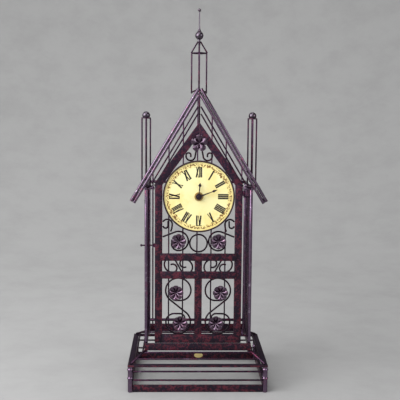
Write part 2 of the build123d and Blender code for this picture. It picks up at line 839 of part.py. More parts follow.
# Lower scrolls: two loops joined by a slanting run, each curling in to its rosette's middle
high_line = high_loop_z - high_curl_r
high_flower = (scroll_x + high_flower_out, high_line + 2 * high_hub_curl_r)
low_line = low_loop_z + low_curl_r
low_flower = (scroll_x - low_flower_in, low_line - 2 * low_hub_curl_r)
cross_angle = degrees(asin((high_loop_r + low_loop_r) / loop_pitch))
cross_out = (sin(radians(90 - cross_angle)), -sin(radians(cross_angle)))
with BuildLine(Plane.XZ.offset(panel_middle)) as lower_path:
    left = scroll_x - high_loop_r
    CenterArc((high_flower[0], high_line + high_hub_curl_r), high_hub_curl_r, 90, -180)
    Line((high_flower[0], high_line), (left + high_curl_r, high_line))
    CenterArc((left + high_curl_r, high_loop_z), high_curl_r, 270, -90)
    CenterArc((scroll_x, high_loop_z), high_loop_r, 180, -180 - cross_angle)
    Line(
        (scroll_x + high_loop_r * cross_out[0], high_loop_z + high_loop_r * cross_out[1]),
        (scroll_x - low_loop_r * cross_out[0], low_loop_z - low_loop_r * cross_out[1]),
    )
    CenterArc((scroll_x, low_loop_z), low_loop_r, 180 - cross_angle, 180 + cross_angle)
    right = scroll_x + low_loop_r
    CenterArc((right - low_curl_r, low_loop_z), low_curl_r, 0, 90)
    Line((right - low_curl_r, low_line), (low_flower[0], low_line))
    CenterArc((low_flower[0], low_line - low_hub_curl_r), low_hub_curl_r, 90, 180)
with BuildPart() as lower_scrolls:
    add(bent_bar(lower_path))
    mirror(about=Plane.YZ)
lower_scrolls.part.label = "lower_scrolls"
export_step(lower_scrolls.part, "parts/lower_scrolls.step")

# Middle scrolls: lying double spirals, the same about their own centre
slant = atan2(middle_rise, middle_run)
turn_x = scroll_x + middle_run + middle_outer_r * sin(slant)
turn_z = middle_z + middle_rise - middle_outer_r * cos(slant)
under_x = turn_x + middle_outer_r - middle_under_r
curl_z = turn_z - middle_under_r + middle_inner_r
with BuildLine(Plane.XZ.offset(panel_middle)) as middle_path:
    for flip, turned in ((1, 0), (-1, 180)):
        outer = (scroll_x + flip * (turn_x - scroll_x), middle_z + flip * (turn_z - middle_z))
        under = (scroll_x + flip * (under_x - scroll_x), outer[1])
        inner = (under[0], middle_z + flip * (curl_z - middle_z))
        Line((scroll_x, middle_z), (scroll_x + flip * middle_run, middle_z + flip * middle_rise))
        CenterArc(outer, middle_outer_r, degrees(slant) + 90 + turned, -degrees(slant) - 90)
        CenterArc(under, middle_under_r, turned, -90)
        CenterArc(inner, middle_inner_r, 270 + turned, -middle_inner_turn)
with BuildPart() as middle_scrolls:
    add(bent_bar(middle_path))
    mirror(about=Plane.YZ)
middle_scrolls.part.label = "middle_scrolls"
export_step(middle_scrolls.part, "parts/middle_scrolls.step")

# Upper scrolls: a tail from the stile, a round loop and a curl in to the rosette's middle
tail_end = (stile_inner - rod_r / 2, upper_ring_z + curl_r - rod_r)
tail_reach = hypot(tail_end[0] - scroll_x, tail_end[1] - upper_ring_z)
tail_angle = atan2(tail_end[1] - upper_ring_z, tail_end[0] - scroll_x)
touch = degrees(tail_angle + acos(upper_ring_r / tail_reach))
touch_point = (
    scroll_x + upper_ring_r * cos(radians(touch)),
    upper_ring_z + upper_ring_r * sin(radians(touch)),
)
upper_curl_z = upper_ring_z - upper_ring_r + upper_curl_r
with BuildLine(Plane.XZ.offset(panel_middle)) as upper_path:
    Line(tail_end, touch_point)
    CenterArc((scroll_x, upper_ring_z), upper_ring_r, touch, 270 - touch)
    CenterArc((scroll_x, upper_curl_z), upper_curl_r, 270, 90)
    curl_x = scroll_x + upper_curl_r - hub_curl_r
    CenterArc((curl_x, upper_curl_z), hub_curl_r, 0, 90)
    Line((curl_x, upper_curl_z + hub_curl_r), (scroll_x, upper_curl_z + hub_curl_r))
with BuildPart() as upper_scrolls:
    add(bent_bar(upper_path))
    mirror(about=Plane.YZ)
upper_scrolls.part.label = "upper_scrolls"
export_step(upper_scrolls.part, "parts/upper_scrolls.step")

# Plain ring between the two upper scrolls
with BuildPart() as centre_ring:
    centre_ring_d = 2 * (scroll_x - upper_ring_r - scroll_r - weld_gap)
    hole_d = centre_ring_d - 4 * scroll_r
    add(disc(0, upper_ring_z - centre_ring_drop, centre_ring_d, panel_back, 2 * scroll_r, hole_d))
centre_ring.part.label = "centre_ring"
export_step(centre_ring.part, "parts/centre_ring.step")

# Side curls: a hook from the stile down to the scroll's tail, with a small curl inside it
hook_x = stile_inner - curl_r
hook_z = dial_z - sqrt((ring_r + curl_r + scroll_r + hook_beside_ring) ** 2 - hook_x**2)
hook_foot_x = hook_x - curl_r + rod_d
tail_slope = (tail_end[1] - touch_point[1]) / (tail_end[0] - touch_point[0])
hook_foot_z = tail_end[1] + tail_slope * (hook_foot_x - tail_end[0]) + rod_d + rod_r
with BuildLine(Plane.XZ.offset(panel_middle)) as hook_path:
    hook_start = degrees(acos((curl_r - weld_gap) / (curl_r + scroll_r)))
    hook_fall = hook_z - hook_foot_z
    long_r = (rod_d**2 + hook_fall**2) / (2 * rod_d)
    CenterArc((hook_x, hook_z), curl_r, hook_start, 180 - hook_start)
    CenterArc((hook_x - curl_r + long_r, hook_z), long_r, 180, degrees(asin(hook_fall / long_r)))
with BuildLine(Plane.XZ.offset(panel_middle)) as inner_hook_path:
    inner_x = hook_x - rod_r
    inner_r = (stile_inner - inner_x) / 2 - rod_r / 2
    inner_low = hook_z - rod_d
    Line((inner_x, hook_z + curl_r - rod_d - 2 * weld_gap), (inner_x, inner_low))
    CenterArc((inner_x + inner_r, inner_low), inner_r, 180, hook_turn)
with BuildPart() as side_curls:
    add(bent_bar(hook_path))
    add(bent_bar(inner_hook_path))
    mirror(about=Plane.YZ)
side_curls.part.label = "side_curls"
export_step(side_curls.part, "parts/side_curls.step")

# Gable scrolls: a stem from the flower, a loop between dial ring and gable bar, a hook inside the loop
gable_loop_r = gable_loop_share * ring_r
gable_loop_x = gable_loop_out_share * ring_r
gable_loop_z = dial_z + sqrt((ring_r + gable_loop_r + rod_r + weld_gap) ** 2 - gable_loop_x**2)
gable_flower_z = gable_inner_apex - gable_flower_drop
stem_top = (rod_d, gable_flower_z + rod_r)
stem_reach = hypot(stem_top[0] - gable_loop_x, stem_top[1] - gable_loop_z)
stem_angle = atan2(stem_top[1] - gable_loop_z, stem_top[0] - gable_loop_x)
stem_touch = stem_angle + acos(gable_loop_r / stem_reach)
gable_hook_r = gable_hook_share * gable_loop_r
hook_out = gable_loop_r - gable_hook_r
gable_hook_x = gable_loop_x + hook_out * cos(radians(gable_hook_start))
gable_hook_z = gable_loop_z + hook_out * sin(radians(gable_hook_start))
with BuildLine(Plane.XZ.offset(panel_middle)) as gable_path:
    stem_foot = (
        gable_loop_x + gable_loop_r * cos(stem_touch),
        gable_loop_z + gable_loop_r * sin(stem_touch),
    )
    Line(stem_top, stem_foot)
    loop_turn = 360 + gable_hook_start - degrees(stem_touch)
    CenterArc((gable_loop_x, gable_loop_z), gable_loop_r, degrees(stem_touch), loop_turn)
    CenterArc((gable_hook_x, gable_hook_z), gable_hook_r, gable_hook_start, 180 - gable_hook_start)
    hook_end = gable_hook_x - gable_hook_r
    Line((hook_end, gable_hook_z), (hook_end, gable_loop_z - gable_hook_r / 2))
with BuildPart() as gable_scrolls:
    add(bent_bar(gable_path))
    mirror(about=Plane.YZ)
gable_scrolls.part.label = "gable_scrolls"
export_step(gable_scrolls.part, "parts/gable_scrolls.step")

# Pressed rosettes on the scrolls and the flower under the gable's point
with BuildPart() as door_rosettes:
    for x, z in (high_flower, low_flower, (scroll_x, upper_ring_z)):
        add(rosette(x, z, rosette_r, rosette_petals, rosette_notch))
        add(rosette(-x, z, rosette_r, rosette_petals, rosette_notch))
door_rosettes.part.label = "door_rosettes"
export_step(door_rosettes.part, "parts/door_rosettes.step")

with BuildPart() as gable_flower:
    add(rosette(0, gable_flower_z, gable_flower_r, gable_flower_petals, gable_flower_notch))
gable_flower.part.label = "gable_flower"
export_step(gable_flower.part, "parts/gable_flower.step")

# Dial hoop and dial plate
hoop_back = panel_front + dial_ring_front - dial_ring_depth
dial_front = panel_front - dial_recess
dial_back = dial_front - dial_thick
with BuildPart() as dial_ring:
    add(disc(0, dial_z, dial_ring_d, hoop_back, dial_ring_depth, dial_ring_d - 2 * dial_ring_wall))
dial_ring.part.label = "dial_ring"
export_step(dial_ring.part, "parts/dial_ring.step")

with BuildPart() as dial_plate:
    plate_d = dial_ring_d - 2 * dial_ring_wall - 2 * running_fit
    add(disc(0, dial_z, plate_d, dial_back, dial_thick, bush_d + 2 * running_fit))
dial_plate.part.label = "dial_plate"
export_step(dial_plate.part, "parts/dial_plate.step")

# Movement: case with its threaded bush, open at the back
case_back = dial_back - case_depth
inside_front = dial_back - case_wall
inside_back = case_back + case_wall
half_case = case_width / 2
motion_z = dial_z + gear_module * (cannon_teeth + motion_teeth) / 2
with BuildPart() as movement_case:
    inner = half_case - case_wall
    add(block((-half_case, -dial_back, dial_z - half_case), (half_case, -inside_back, dial_z + half_case)))
    hollow = block((-inner, -inside_front, dial_z - inner), (inner, -inside_back, dial_z + inner))
    add(hollow, mode=Mode.SUBTRACT)
    add(disc(0, dial_z, bush_d, dial_back, bush_length))
    add(disc(0, dial_z, bush_bore, inside_front, case_wall + bush_length), mode=Mode.SUBTRACT)
    motion_bore = motion_arbor_d + 2 * running_fit
    add(disc(0, motion_z, motion_bore, inside_front, pivot_depth), mode=Mode.SUBTRACT)
movement_case.part.label = "movement_case"
export_step(movement_case.part, "parts/movement_case.step")

with BuildPart() as movement_cover:
    low = (-half_case, -inside_back, dial_z - half_case)
    add(block(low, (half_case, -case_back, dial_z + half_case)))
    add(disc(0, motion_z, motion_bore, case_back, case_wall), mode=Mode.SUBTRACT)
    arbor_bore = arbor_d + 2 * running_fit
    add(disc(0, dial_z, arbor_boss_d, inside_back, arbor_boss_length, arbor_bore))
movement_cover.part.label = "movement_cover"
export_step(movement_cover.part, "parts/movement_cover.step")

with BuildPart() as mounting_nut:
    add(disc(0, dial_z, nut_d, dial_front, nut_thick, bush_d + 2 * push_fit))
mounting_nut.part.label = "mounting_nut"
export_step(mounting_nut.part, "parts/mounting_nut.step")

# Movement: battery, its contacts, circuit board and step motor
battery_z = dial_z - half_case + case_wall + battery_d / 2 + weld_gap
battery_line = (inside_front + inside_back) / 2
with BuildPart() as battery:
    tip = battery_length / 2 + battery_nub_length
    minus = (-battery_length / 2, -battery_line, battery_z)
    plus = (battery_length / 2, -battery_line, battery_z)
    add(round_bar(minus, plus, battery_d))
    add(round_bar(plus, (tip, -battery_line, battery_z), battery_nub_d))
battery.part.label = "battery"
export_step(battery.part, "parts/battery.step")

with BuildPart() as battery_contacts:
    half_contact = contact_width / 2
    for start in (tip + weld_gap, -battery_length / 2 - weld_gap - contact_thick):
        low = (start, -battery_line - half_contact, battery_z - half_contact)
        add(block(low, (start + contact_thick, half_contact - battery_line, battery_z + half_contact)))
battery_contacts.part.label = "battery_contacts"
export_step(battery_contacts.part, "parts/battery_contacts.step")

with BuildPart() as circuit_board:
    board_back = inside_back + 2 * weld_gap
    low = (-motor_offset - board_width / 2, -board_back - board_thick, dial_z)
    add(block(low, (-motor_offset + board_width / 2, -board_back, dial_z + board_height)))
circuit_board.part.label = "circuit_board"
export_step(circuit_board.part, "parts/circuit_board.step")

with BuildPart() as step_motor:
    stator_front = inside_front - 2 * weld_gap
    stator_low = dial_z - stator_drop
    low = (motor_offset - stator_width / 2, -stator_front, stator_low)
    high = (motor_offset + stator_width / 2, stator_thick - stator_front, stator_low + stator_height)
    add(block(low, high))
    coil_y = stator_thick + coil_d / 2 - weld_gap - stator_front
    coil_low = stator_low + (stator_height - coil_length) / 2
    coil_high = coil_low + coil_length
    add(round_bar((motor_offset, coil_y, coil_low), (motor_offset, coil_y, coil_high), coil_d))
step_motor.part.label = "step_motor"
export_step(step_motor.part, "parts/step_motor.step")

# Going train to the hands: cannon pinion, motion wheel with pinion, hour wheel with pipe
hour_wheel_back = dial_back - wheel_back
motion_wheel_back = hour_wheel_back - train_step
hub_front = dial_back + bush_length
hour_hand_back = hub_front + hand_spacing
minute_hand_back = hour_hand_back + hand_thick + hand_spacing
nut_back = minute_hand_back + hand_thick + weld_gap
pipe_d = bush_bore - 2 * running_fit
with BuildPart() as minute_arbor:
    rear = inside_back + weld_gap + running_fit
    add(disc(0, dial_z, arbor_d, rear, nut_back + hand_nut_length / 2 - rear))
    add(gear(cannon_teeth, motion_wheel_back, pinion_length, dial_z, 90))
minute_arbor.part.label = "minute_arbor"
export_step(minute_arbor.part, "parts/minute_arbor.step")

with BuildPart() as motion_wheel:
    half_tooth = 180 / motion_teeth
    add(gear(motion_teeth, motion_wheel_back, wheel_thick, motion_z, 270 + half_tooth))
    add(gear(motion_pinion_teeth, hour_wheel_back - moving_gap, pinion_length, motion_z, 270))
    rear = case_back - knob_gap - knob_length / 2
    add(disc(0, motion_z, motion_arbor_d, rear, inside_front + case_wall / 2 - rear))
motion_wheel.part.label = "motion_wheel"
export_step(motion_wheel.part, "parts/motion_wheel.step")

with BuildPart() as setting_knob:
    rear = case_back - knob_gap - knob_length
    add(disc(0, motion_z, knob_d, rear, knob_length))
    stem_bore = motion_arbor_d + 2 * push_fit
    add(disc(0, motion_z, stem_bore, rear + knob_length / 2, knob_length / 2), mode=Mode.SUBTRACT)
setting_knob.part.label = "setting_knob"
export_step(setting_knob.part, "parts/setting_knob.step")

with BuildPart() as hour_wheel:
    add(gear(hour_teeth, hour_wheel_back, wheel_thick, dial_z, 90 + 180 / hour_teeth))
    add(disc(0, dial_z, pipe_d, hour_wheel_back, hour_hand_back + hand_thick - hour_wheel_back))
    pipe_bore = arbor_d + 2 * running_fit
    pipe_length = hour_hand_back + hand_thick - hour_wheel_back
    add(disc(0, dial_z, pipe_bore, hour_wheel_back, pipe_length), mode=Mode.SUBTRACT)
hour_wheel.part.label = "hour_wheel"
export_step(hour_wheel.part, "parts/hour_wheel.step")


def hand(length, angle, back, bore):
    """A spade hand that points along the given clock angle."""
    spade_r = length * spade_share
    shaft_end = length * shaft_share
    turn = radians(angle)
    face = Plane(origin=(0, -back, dial_z), x_dir=(cos(turn), 0, -sin(turn)), z_dir=(0, -1, 0))
    with BuildPart() as piece:
        with BuildSketch(face):
            Circle(hub_d / 2)
            with BuildLine():
                Polyline(
                    (-spade_r / 2, 0),
                    (-spade_r / 3, shaft_end),
                    (-spade_r, shaft_end + spade_r),
                    (0, length),
                    (spade_r, shaft_end + spade_r),
                    (spade_r / 3, shaft_end),
                    (spade_r / 2, 0),
                    close=True,
                )
            make_face()
            Circle(bore / 2, mode=Mode.SUBTRACT)
        extrude(amount=hand_thick)
    return piece.part


with BuildPart() as hour_hand:
    add(hand(hour_hand_length, hour_hand_angle, hour_hand_back, pipe_d + 2 * push_fit))
hour_hand.part.label = "hour_hand"
export_step(hour_hand.part, "parts/hour_hand.step")

with BuildPart() as minute_hand:
    add(hand(minute_hand_length, minute_hand_angle, minute_hand_back, arbor_d + 2 * push_fit))
minute_hand.part.label = "minute_hand"
export_step(minute_hand.part, "parts/minute_hand.step")

with BuildPart() as hand_nut:
    add(disc(0, dial_z, hand_nut_d, nut_back, hand_nut_length))
    add(disc(0, dial_z, arbor_d + 2 * push_fit, nut_back, hand_nut_depth), mode=Mode.SUBTRACT)
hand_nut.part.label = "hand_nut"
export_step(hand_nut.part, "parts/hand_nut.step")
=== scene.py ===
"""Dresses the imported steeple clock: smooth welded metalwork, a printed dial and a plain studio.

Lengths are in metres, in the clock's own frame: +X to the right, +Y to the back and +Z up.
"""

import json
import logging
from dataclasses import dataclass, replace
from enum import Enum
from math import cos, pi, radians, sin, sqrt
from typing import Any, ClassVar, Iterable

import bmesh
import bpy
from mathutils import Matrix, Vector


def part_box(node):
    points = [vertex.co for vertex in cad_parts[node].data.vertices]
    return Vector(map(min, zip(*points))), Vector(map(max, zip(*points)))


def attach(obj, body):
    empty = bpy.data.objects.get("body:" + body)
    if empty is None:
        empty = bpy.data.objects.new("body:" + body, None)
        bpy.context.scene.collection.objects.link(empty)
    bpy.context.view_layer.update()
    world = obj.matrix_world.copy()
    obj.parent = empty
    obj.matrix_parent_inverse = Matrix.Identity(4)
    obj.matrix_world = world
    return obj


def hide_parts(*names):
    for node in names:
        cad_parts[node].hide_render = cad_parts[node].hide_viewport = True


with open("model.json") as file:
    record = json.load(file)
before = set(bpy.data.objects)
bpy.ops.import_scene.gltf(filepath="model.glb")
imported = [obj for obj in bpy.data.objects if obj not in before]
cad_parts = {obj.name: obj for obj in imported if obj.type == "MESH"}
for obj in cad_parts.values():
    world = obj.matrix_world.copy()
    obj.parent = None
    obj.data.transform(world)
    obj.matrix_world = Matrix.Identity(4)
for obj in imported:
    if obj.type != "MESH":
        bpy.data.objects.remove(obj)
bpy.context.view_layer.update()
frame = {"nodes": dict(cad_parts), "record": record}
log = logging.getLogger("steeple_clock")

Colour = tuple[float, float, float]
Place = tuple[float, float, float]
Levels = tuple[float, float]
Profile = list[tuple[float, float]]
Material = bpy.types.Material
Shape = bmesh.types.BMesh
Corner = bmesh.types.BMVert
Edge = bmesh.types.BMEdge
Face = bmesh.types.BMFace

MM = 0.001
POLE = 90.0
NOISE_MEAN = 0.5
MERGE_DISTANCE = 0.002 * MM
FLAT_ANGLE = radians(1.5)
ROUND_ANGLE = radians(30)
SHARP_ANGLE = radians(42)


# Shader maths

class Signal:
    """A shader socket that takes part in Python arithmetic."""

    def __init__(self, graph: "Graph", socket: bpy.types.NodeSocket) -> None:
        """Keeps the graph and the output socket that carries the value."""
        self.graph = graph
        self.socket = socket

    def _maths(self, operation: str, first: Any, second: Any = 0.0) -> "Signal":
        """Adds one Math node.

        Args:
            operation: Name of the Math node's operation.
            first: Value or signal for the first input.
            second: Value or signal for the second input.

        Returns:
            The node's result.
        """
        return self.graph.node("ShaderNodeMath", {"operation": operation}, {0: first, 1: second})

    def __add__(self, other: Any) -> "Signal":
        """Adds a value or a signal."""
        return self._maths("ADD", self, other)

    __radd__ = __add__

    def __sub__(self, other: Any) -> "Signal":
        """Takes a value or a signal away."""
        return self._maths("SUBTRACT", self, other)

    def __rsub__(self, other: Any) -> "Signal":
        """Takes this signal away from a value."""
        return self._maths("SUBTRACT", other, self)

    def __mul__(self, other: Any) -> "Signal":
        """Multiplies by a value or a signal."""
        return self._maths("MULTIPLY", self, other)

    __rmul__ = __mul__

    def __truediv__(self, other: Any) -> "Signal":
        """Divides by a value or a signal."""
        return self._maths("DIVIDE", self, other)

    def __pow__(self, other: Any) -> "Signal":
        """Raises to a power."""
        return self._maths("POWER", self, other)

    def __abs__(self) -> "Signal":
        """Drops the sign."""
        return self._maths("ABSOLUTE", self)

    def wave(self) -> "Signal":
        """Gives the sine."""
        return self._maths("SINE", self)

    def angle_from(self, other: "Signal") -> "Signal":
        """Gives the angle whose tangent is this signal over another."""
        return self._maths("ARCTAN2", self, other)

    def step(self, low: float, high: float) -> "Signal":
        """Rises smoothly from 0 to 1.

        Args:
            low: Where the rise starts.
            high: Where it ends; lower than low for a fall.

        Returns:
            The eased share.
        """
        if low > high:
            return 1 - self.step(high, low)
        limits = {"From Min": low, "From Max": high}
        settings = {"interpolation_type": "SMOOTHSTEP"}
        return self.graph.node("ShaderNodeMapRange", settings, {"Value": self, **limits})


class Graph:
    """The node tree of one procedural material."""

    def __init__(self, name: str) -> None:
        """Starts a material with a Principled shader.

        Args:
            name: The material's name.
        """
        self.material = bpy.data.materials.new(name)
        self.material.use_nodes = True
        self.tree = self.material.node_tree
        self.shader = self.tree.nodes["Principled BSDF"]
        self.place = self.node("ShaderNodeTexCoord", {}, {}, "Object")

    def node(self, kind: str, settings: dict[str, Any], values: dict[Any, Any], output: Any = 0) -> Signal:
        """Adds a node.

        Args:
            kind: The node's type.
            settings: Properties set before the sockets.
            values: Values or signals for its input sockets, by name or number.
            output: Name or number of the output to use.

        Returns:
            That output as a signal.
        """
        added = self.tree.nodes.new(kind)
        for key, setting in settings.items():
            setattr(added, key, setting)
        for key, value in values.items():
            self.feed(added.inputs[key], value)
        return Signal(self, added.outputs[output])

    def feed(self, socket: bpy.types.NodeSocket, value: Any) -> None:
        """Links a signal to an input socket, or sets the socket's own value.

        Args:
            socket: The input socket.
            value: A signal, a number, a colour or a vector.
        """
        if isinstance(value, Signal):
            self.tree.links.new(value.socket, socket)
        elif isinstance(value, tuple) and socket.type == "RGBA":
            socket.default_value = (*value, 1.0)
        else:
            socket.default_value = value

    def noise(self, scale: float, detail: float = 3.0, roughness: float = 0.5, bend: float = 0.0) -> Signal:
        """Adds a noise over the piece.

        Args:
            scale: Features per metre.
            detail: Octaves.
            roughness: Share of the finer octaves.
            bend: Distortion of the pattern.

        Returns:
            The noise from 0 to 1.
        """
        values = {
            "Vector": self.place,
            "Scale": scale,
            "Detail": detail,
            "Roughness": roughness,
            "Distortion": bend,
        }
        return self.node("ShaderNodeTexNoise", {}, values, "Fac")

    def blend(self, share: Any, first: Any, second: Any) -> Signal:
        """Mixes two colours.

        Args:
            share: How much of the second colour shows.
            first: Colour or signal.
            second: Colour or signal.

        Returns:
            The mixed colour.
        """
        return self.node("ShaderNodeMix", {"data_type": "RGBA"}, {0: share, 6: first, 7: second}, 2)

    def dress(self, **sockets: Any) -> None:
        """Feeds the shader, with spaces in socket names written as underscores."""
        for key, value in sockets.items():
            self.feed(self.shader.inputs[key.replace("_", " ")], value)

    def relief(self, height: Signal, strength: float, depth: float) -> None:
        """Bumps the surface.

        Args:
            height: The relief from 0 to 1.
            strength: How strongly it shows.
            depth: Its depth in metres.
        """
        values = {"Strength": strength, "Distance": depth, "Height": height}
        self.dress(Normal=self.node("ShaderNodeBump", {}, values, "Normal"))


# Finishes

@dataclass(frozen=True)
class Patina:
    """Heat-coloured iron under lacquer: a dark ground with wine-red and violet clouds.

    The fields from the height light on add violet with height, a painted light that brightens the upper
    parts; dust in specks; painted shade on faces that look up, which takes them to the ground colour and
    dulls their gloss; and pits.
    """

    name: str
    ground: Colour
    wine: Colour
    violet: Colour
    wine_levels: Levels
    gloss: float
    metal: float = 0.35
    coat: float = 0.2
    coat_roughness: float = 0.16
    specular: float = 0.35
    edge: Colour = (0.22, 0.16, 0.22)
    cloud: float = 62.0
    fleck: float = 420.0
    speckle: float = 0.3
    fleck_roughness: float = 0.22
    wine_polish: float = 0.05
    violet_scale: float = 1.7
    violet_flecks: float = 0.25
    violet_levels: Levels = (0.56, 0.72)
    violet_share: float = 0.75
    painted_height_light: float = 0.0
    painted_height_light_levels: Levels = (0.25, 0.72)
    dust_scale: float = 2.3
    dust_levels: Levels = (0.62, 0.78)
    dust_share: float = 0.35
    painted_top_shade: float = 0.0
    painted_top_shade_levels: Levels = (0.55, 0.85)
    painted_top_shade_roughness: float = 0.4
    bump: float = 0.22
    pit_scale: float = 3.1
    pit_share: float = 0.4
    pit_depth: float = 0.25 * MM

    def material(self) -> Material:
        """Builds the material.

        Returns:
            The finished material.
        """
        graph = Graph(self.name)
        clouds = graph.noise(self.cloud, detail=5.0, roughness=0.6, bend=0.8)
        flecks = graph.noise(self.fleck, roughness=0.6)
        haze = graph.noise(self.cloud * self.violet_scale, detail=4.0, roughness=0.55, bend=0.4)
        dust = graph.noise(self.fleck * self.dust_scale, detail=2.0)
        pits = graph.noise(self.fleck * self.pit_scale, detail=2.0)
        red = (clouds * (1 - self.speckle) + flecks * self.speckle).step(*self.wine_levels)
        mottle = haze * (1 - self.violet_flecks) + flecks * self.violet_flecks
        blue = mottle.step(*self.violet_levels) * self.violet_share
        # Painted light: violet is added with height so the upper parts look brighter, as if lit more from
        # above.
        if self.painted_height_light:
            height = graph.node("ShaderNodeSeparateXYZ", {}, {0: graph.place}, "Z")
            blue = blue + height.step(*self.painted_height_light_levels) * self.painted_height_light
        colour = graph.blend(blue, graph.blend(red, self.ground, self.wine), self.violet)
        dust_and_painted_top_shade = dust.step(*self.dust_levels) * self.dust_share
        roughness = self.gloss + flecks * self.fleck_roughness - red * self.wine_polish
        coat: Any = self.coat
        # Painted shade: faces that look up are taken to the dark ground colour, with their roughness raised
        # and their coat removed, so the light they catch from above is hidden.
        if self.painted_top_shade:
            facing = graph.node("ShaderNodeNewGeometry", {}, {}, "Normal")
            rise = graph.node("ShaderNodeSeparateXYZ", {}, {0: facing}, "Z")
            upward = rise.step(*self.painted_top_shade_levels) * self.painted_top_shade
            dust_and_painted_top_shade = dust_and_painted_top_shade * (1 - upward) + upward
            roughness = roughness + upward * self.painted_top_shade_roughness
            coat = (1 - upward) * self.coat
        graph.dress(
            Base_Color=graph.blend(dust_and_painted_top_shade, colour, self.ground),
            Roughness=roughness,
            Metallic=self.metal,
            Coat_Weight=coat,
            Coat_Roughness=self.coat_roughness,
            Specular_IOR_Level=self.specular,
            Specular_Tint=self.edge,
        )
        graph.relief(flecks * (1 - self.pit_share) + pits * self.pit_share, self.bump, self.pit_depth)
        return graph.material


@dataclass(frozen=True)
class Plain:
    """A moulded, plated or printed surface with soft and fine mottling."""

    name: str
    colour: Colour
    shade: Colour
    roughness: float
    metallic: float = 0.0
    grain: float = 700.0
    depth: float = 0.08 * MM
    bump: float = 0.25
    soft_scale: float = 0.12
    soft_levels: Levels = (0.35, 0.75)
    soft_share: float = 0.6
    soft_roughness: float = 0.15
    fine_share: float = 0.3
    fine_roughness: float = 0.1

    def material(self) -> Material:
        """Builds the material.

        Returns:
            The finished material.
        """
        graph = Graph(self.name)
        soft = graph.noise(self.grain * self.soft_scale, detail=4.0, roughness=0.6)
        fine = graph.noise(self.grain, roughness=0.6)
        shaded = soft.step(*self.soft_levels) * self.soft_share + fine * self.fine_share
        roughness = self.roughness + (soft - NOISE_MEAN) * self.soft_roughness
        graph.dress(
            Base_Color=graph.blend(shaded, self.colour, self.shade),
            Roughness=roughness + (fine - NOISE_MEAN) * self.fine_roughness,
            Metallic=self.metallic,
        )
        graph.relief(fine, self.bump, self.depth)
        return graph.material


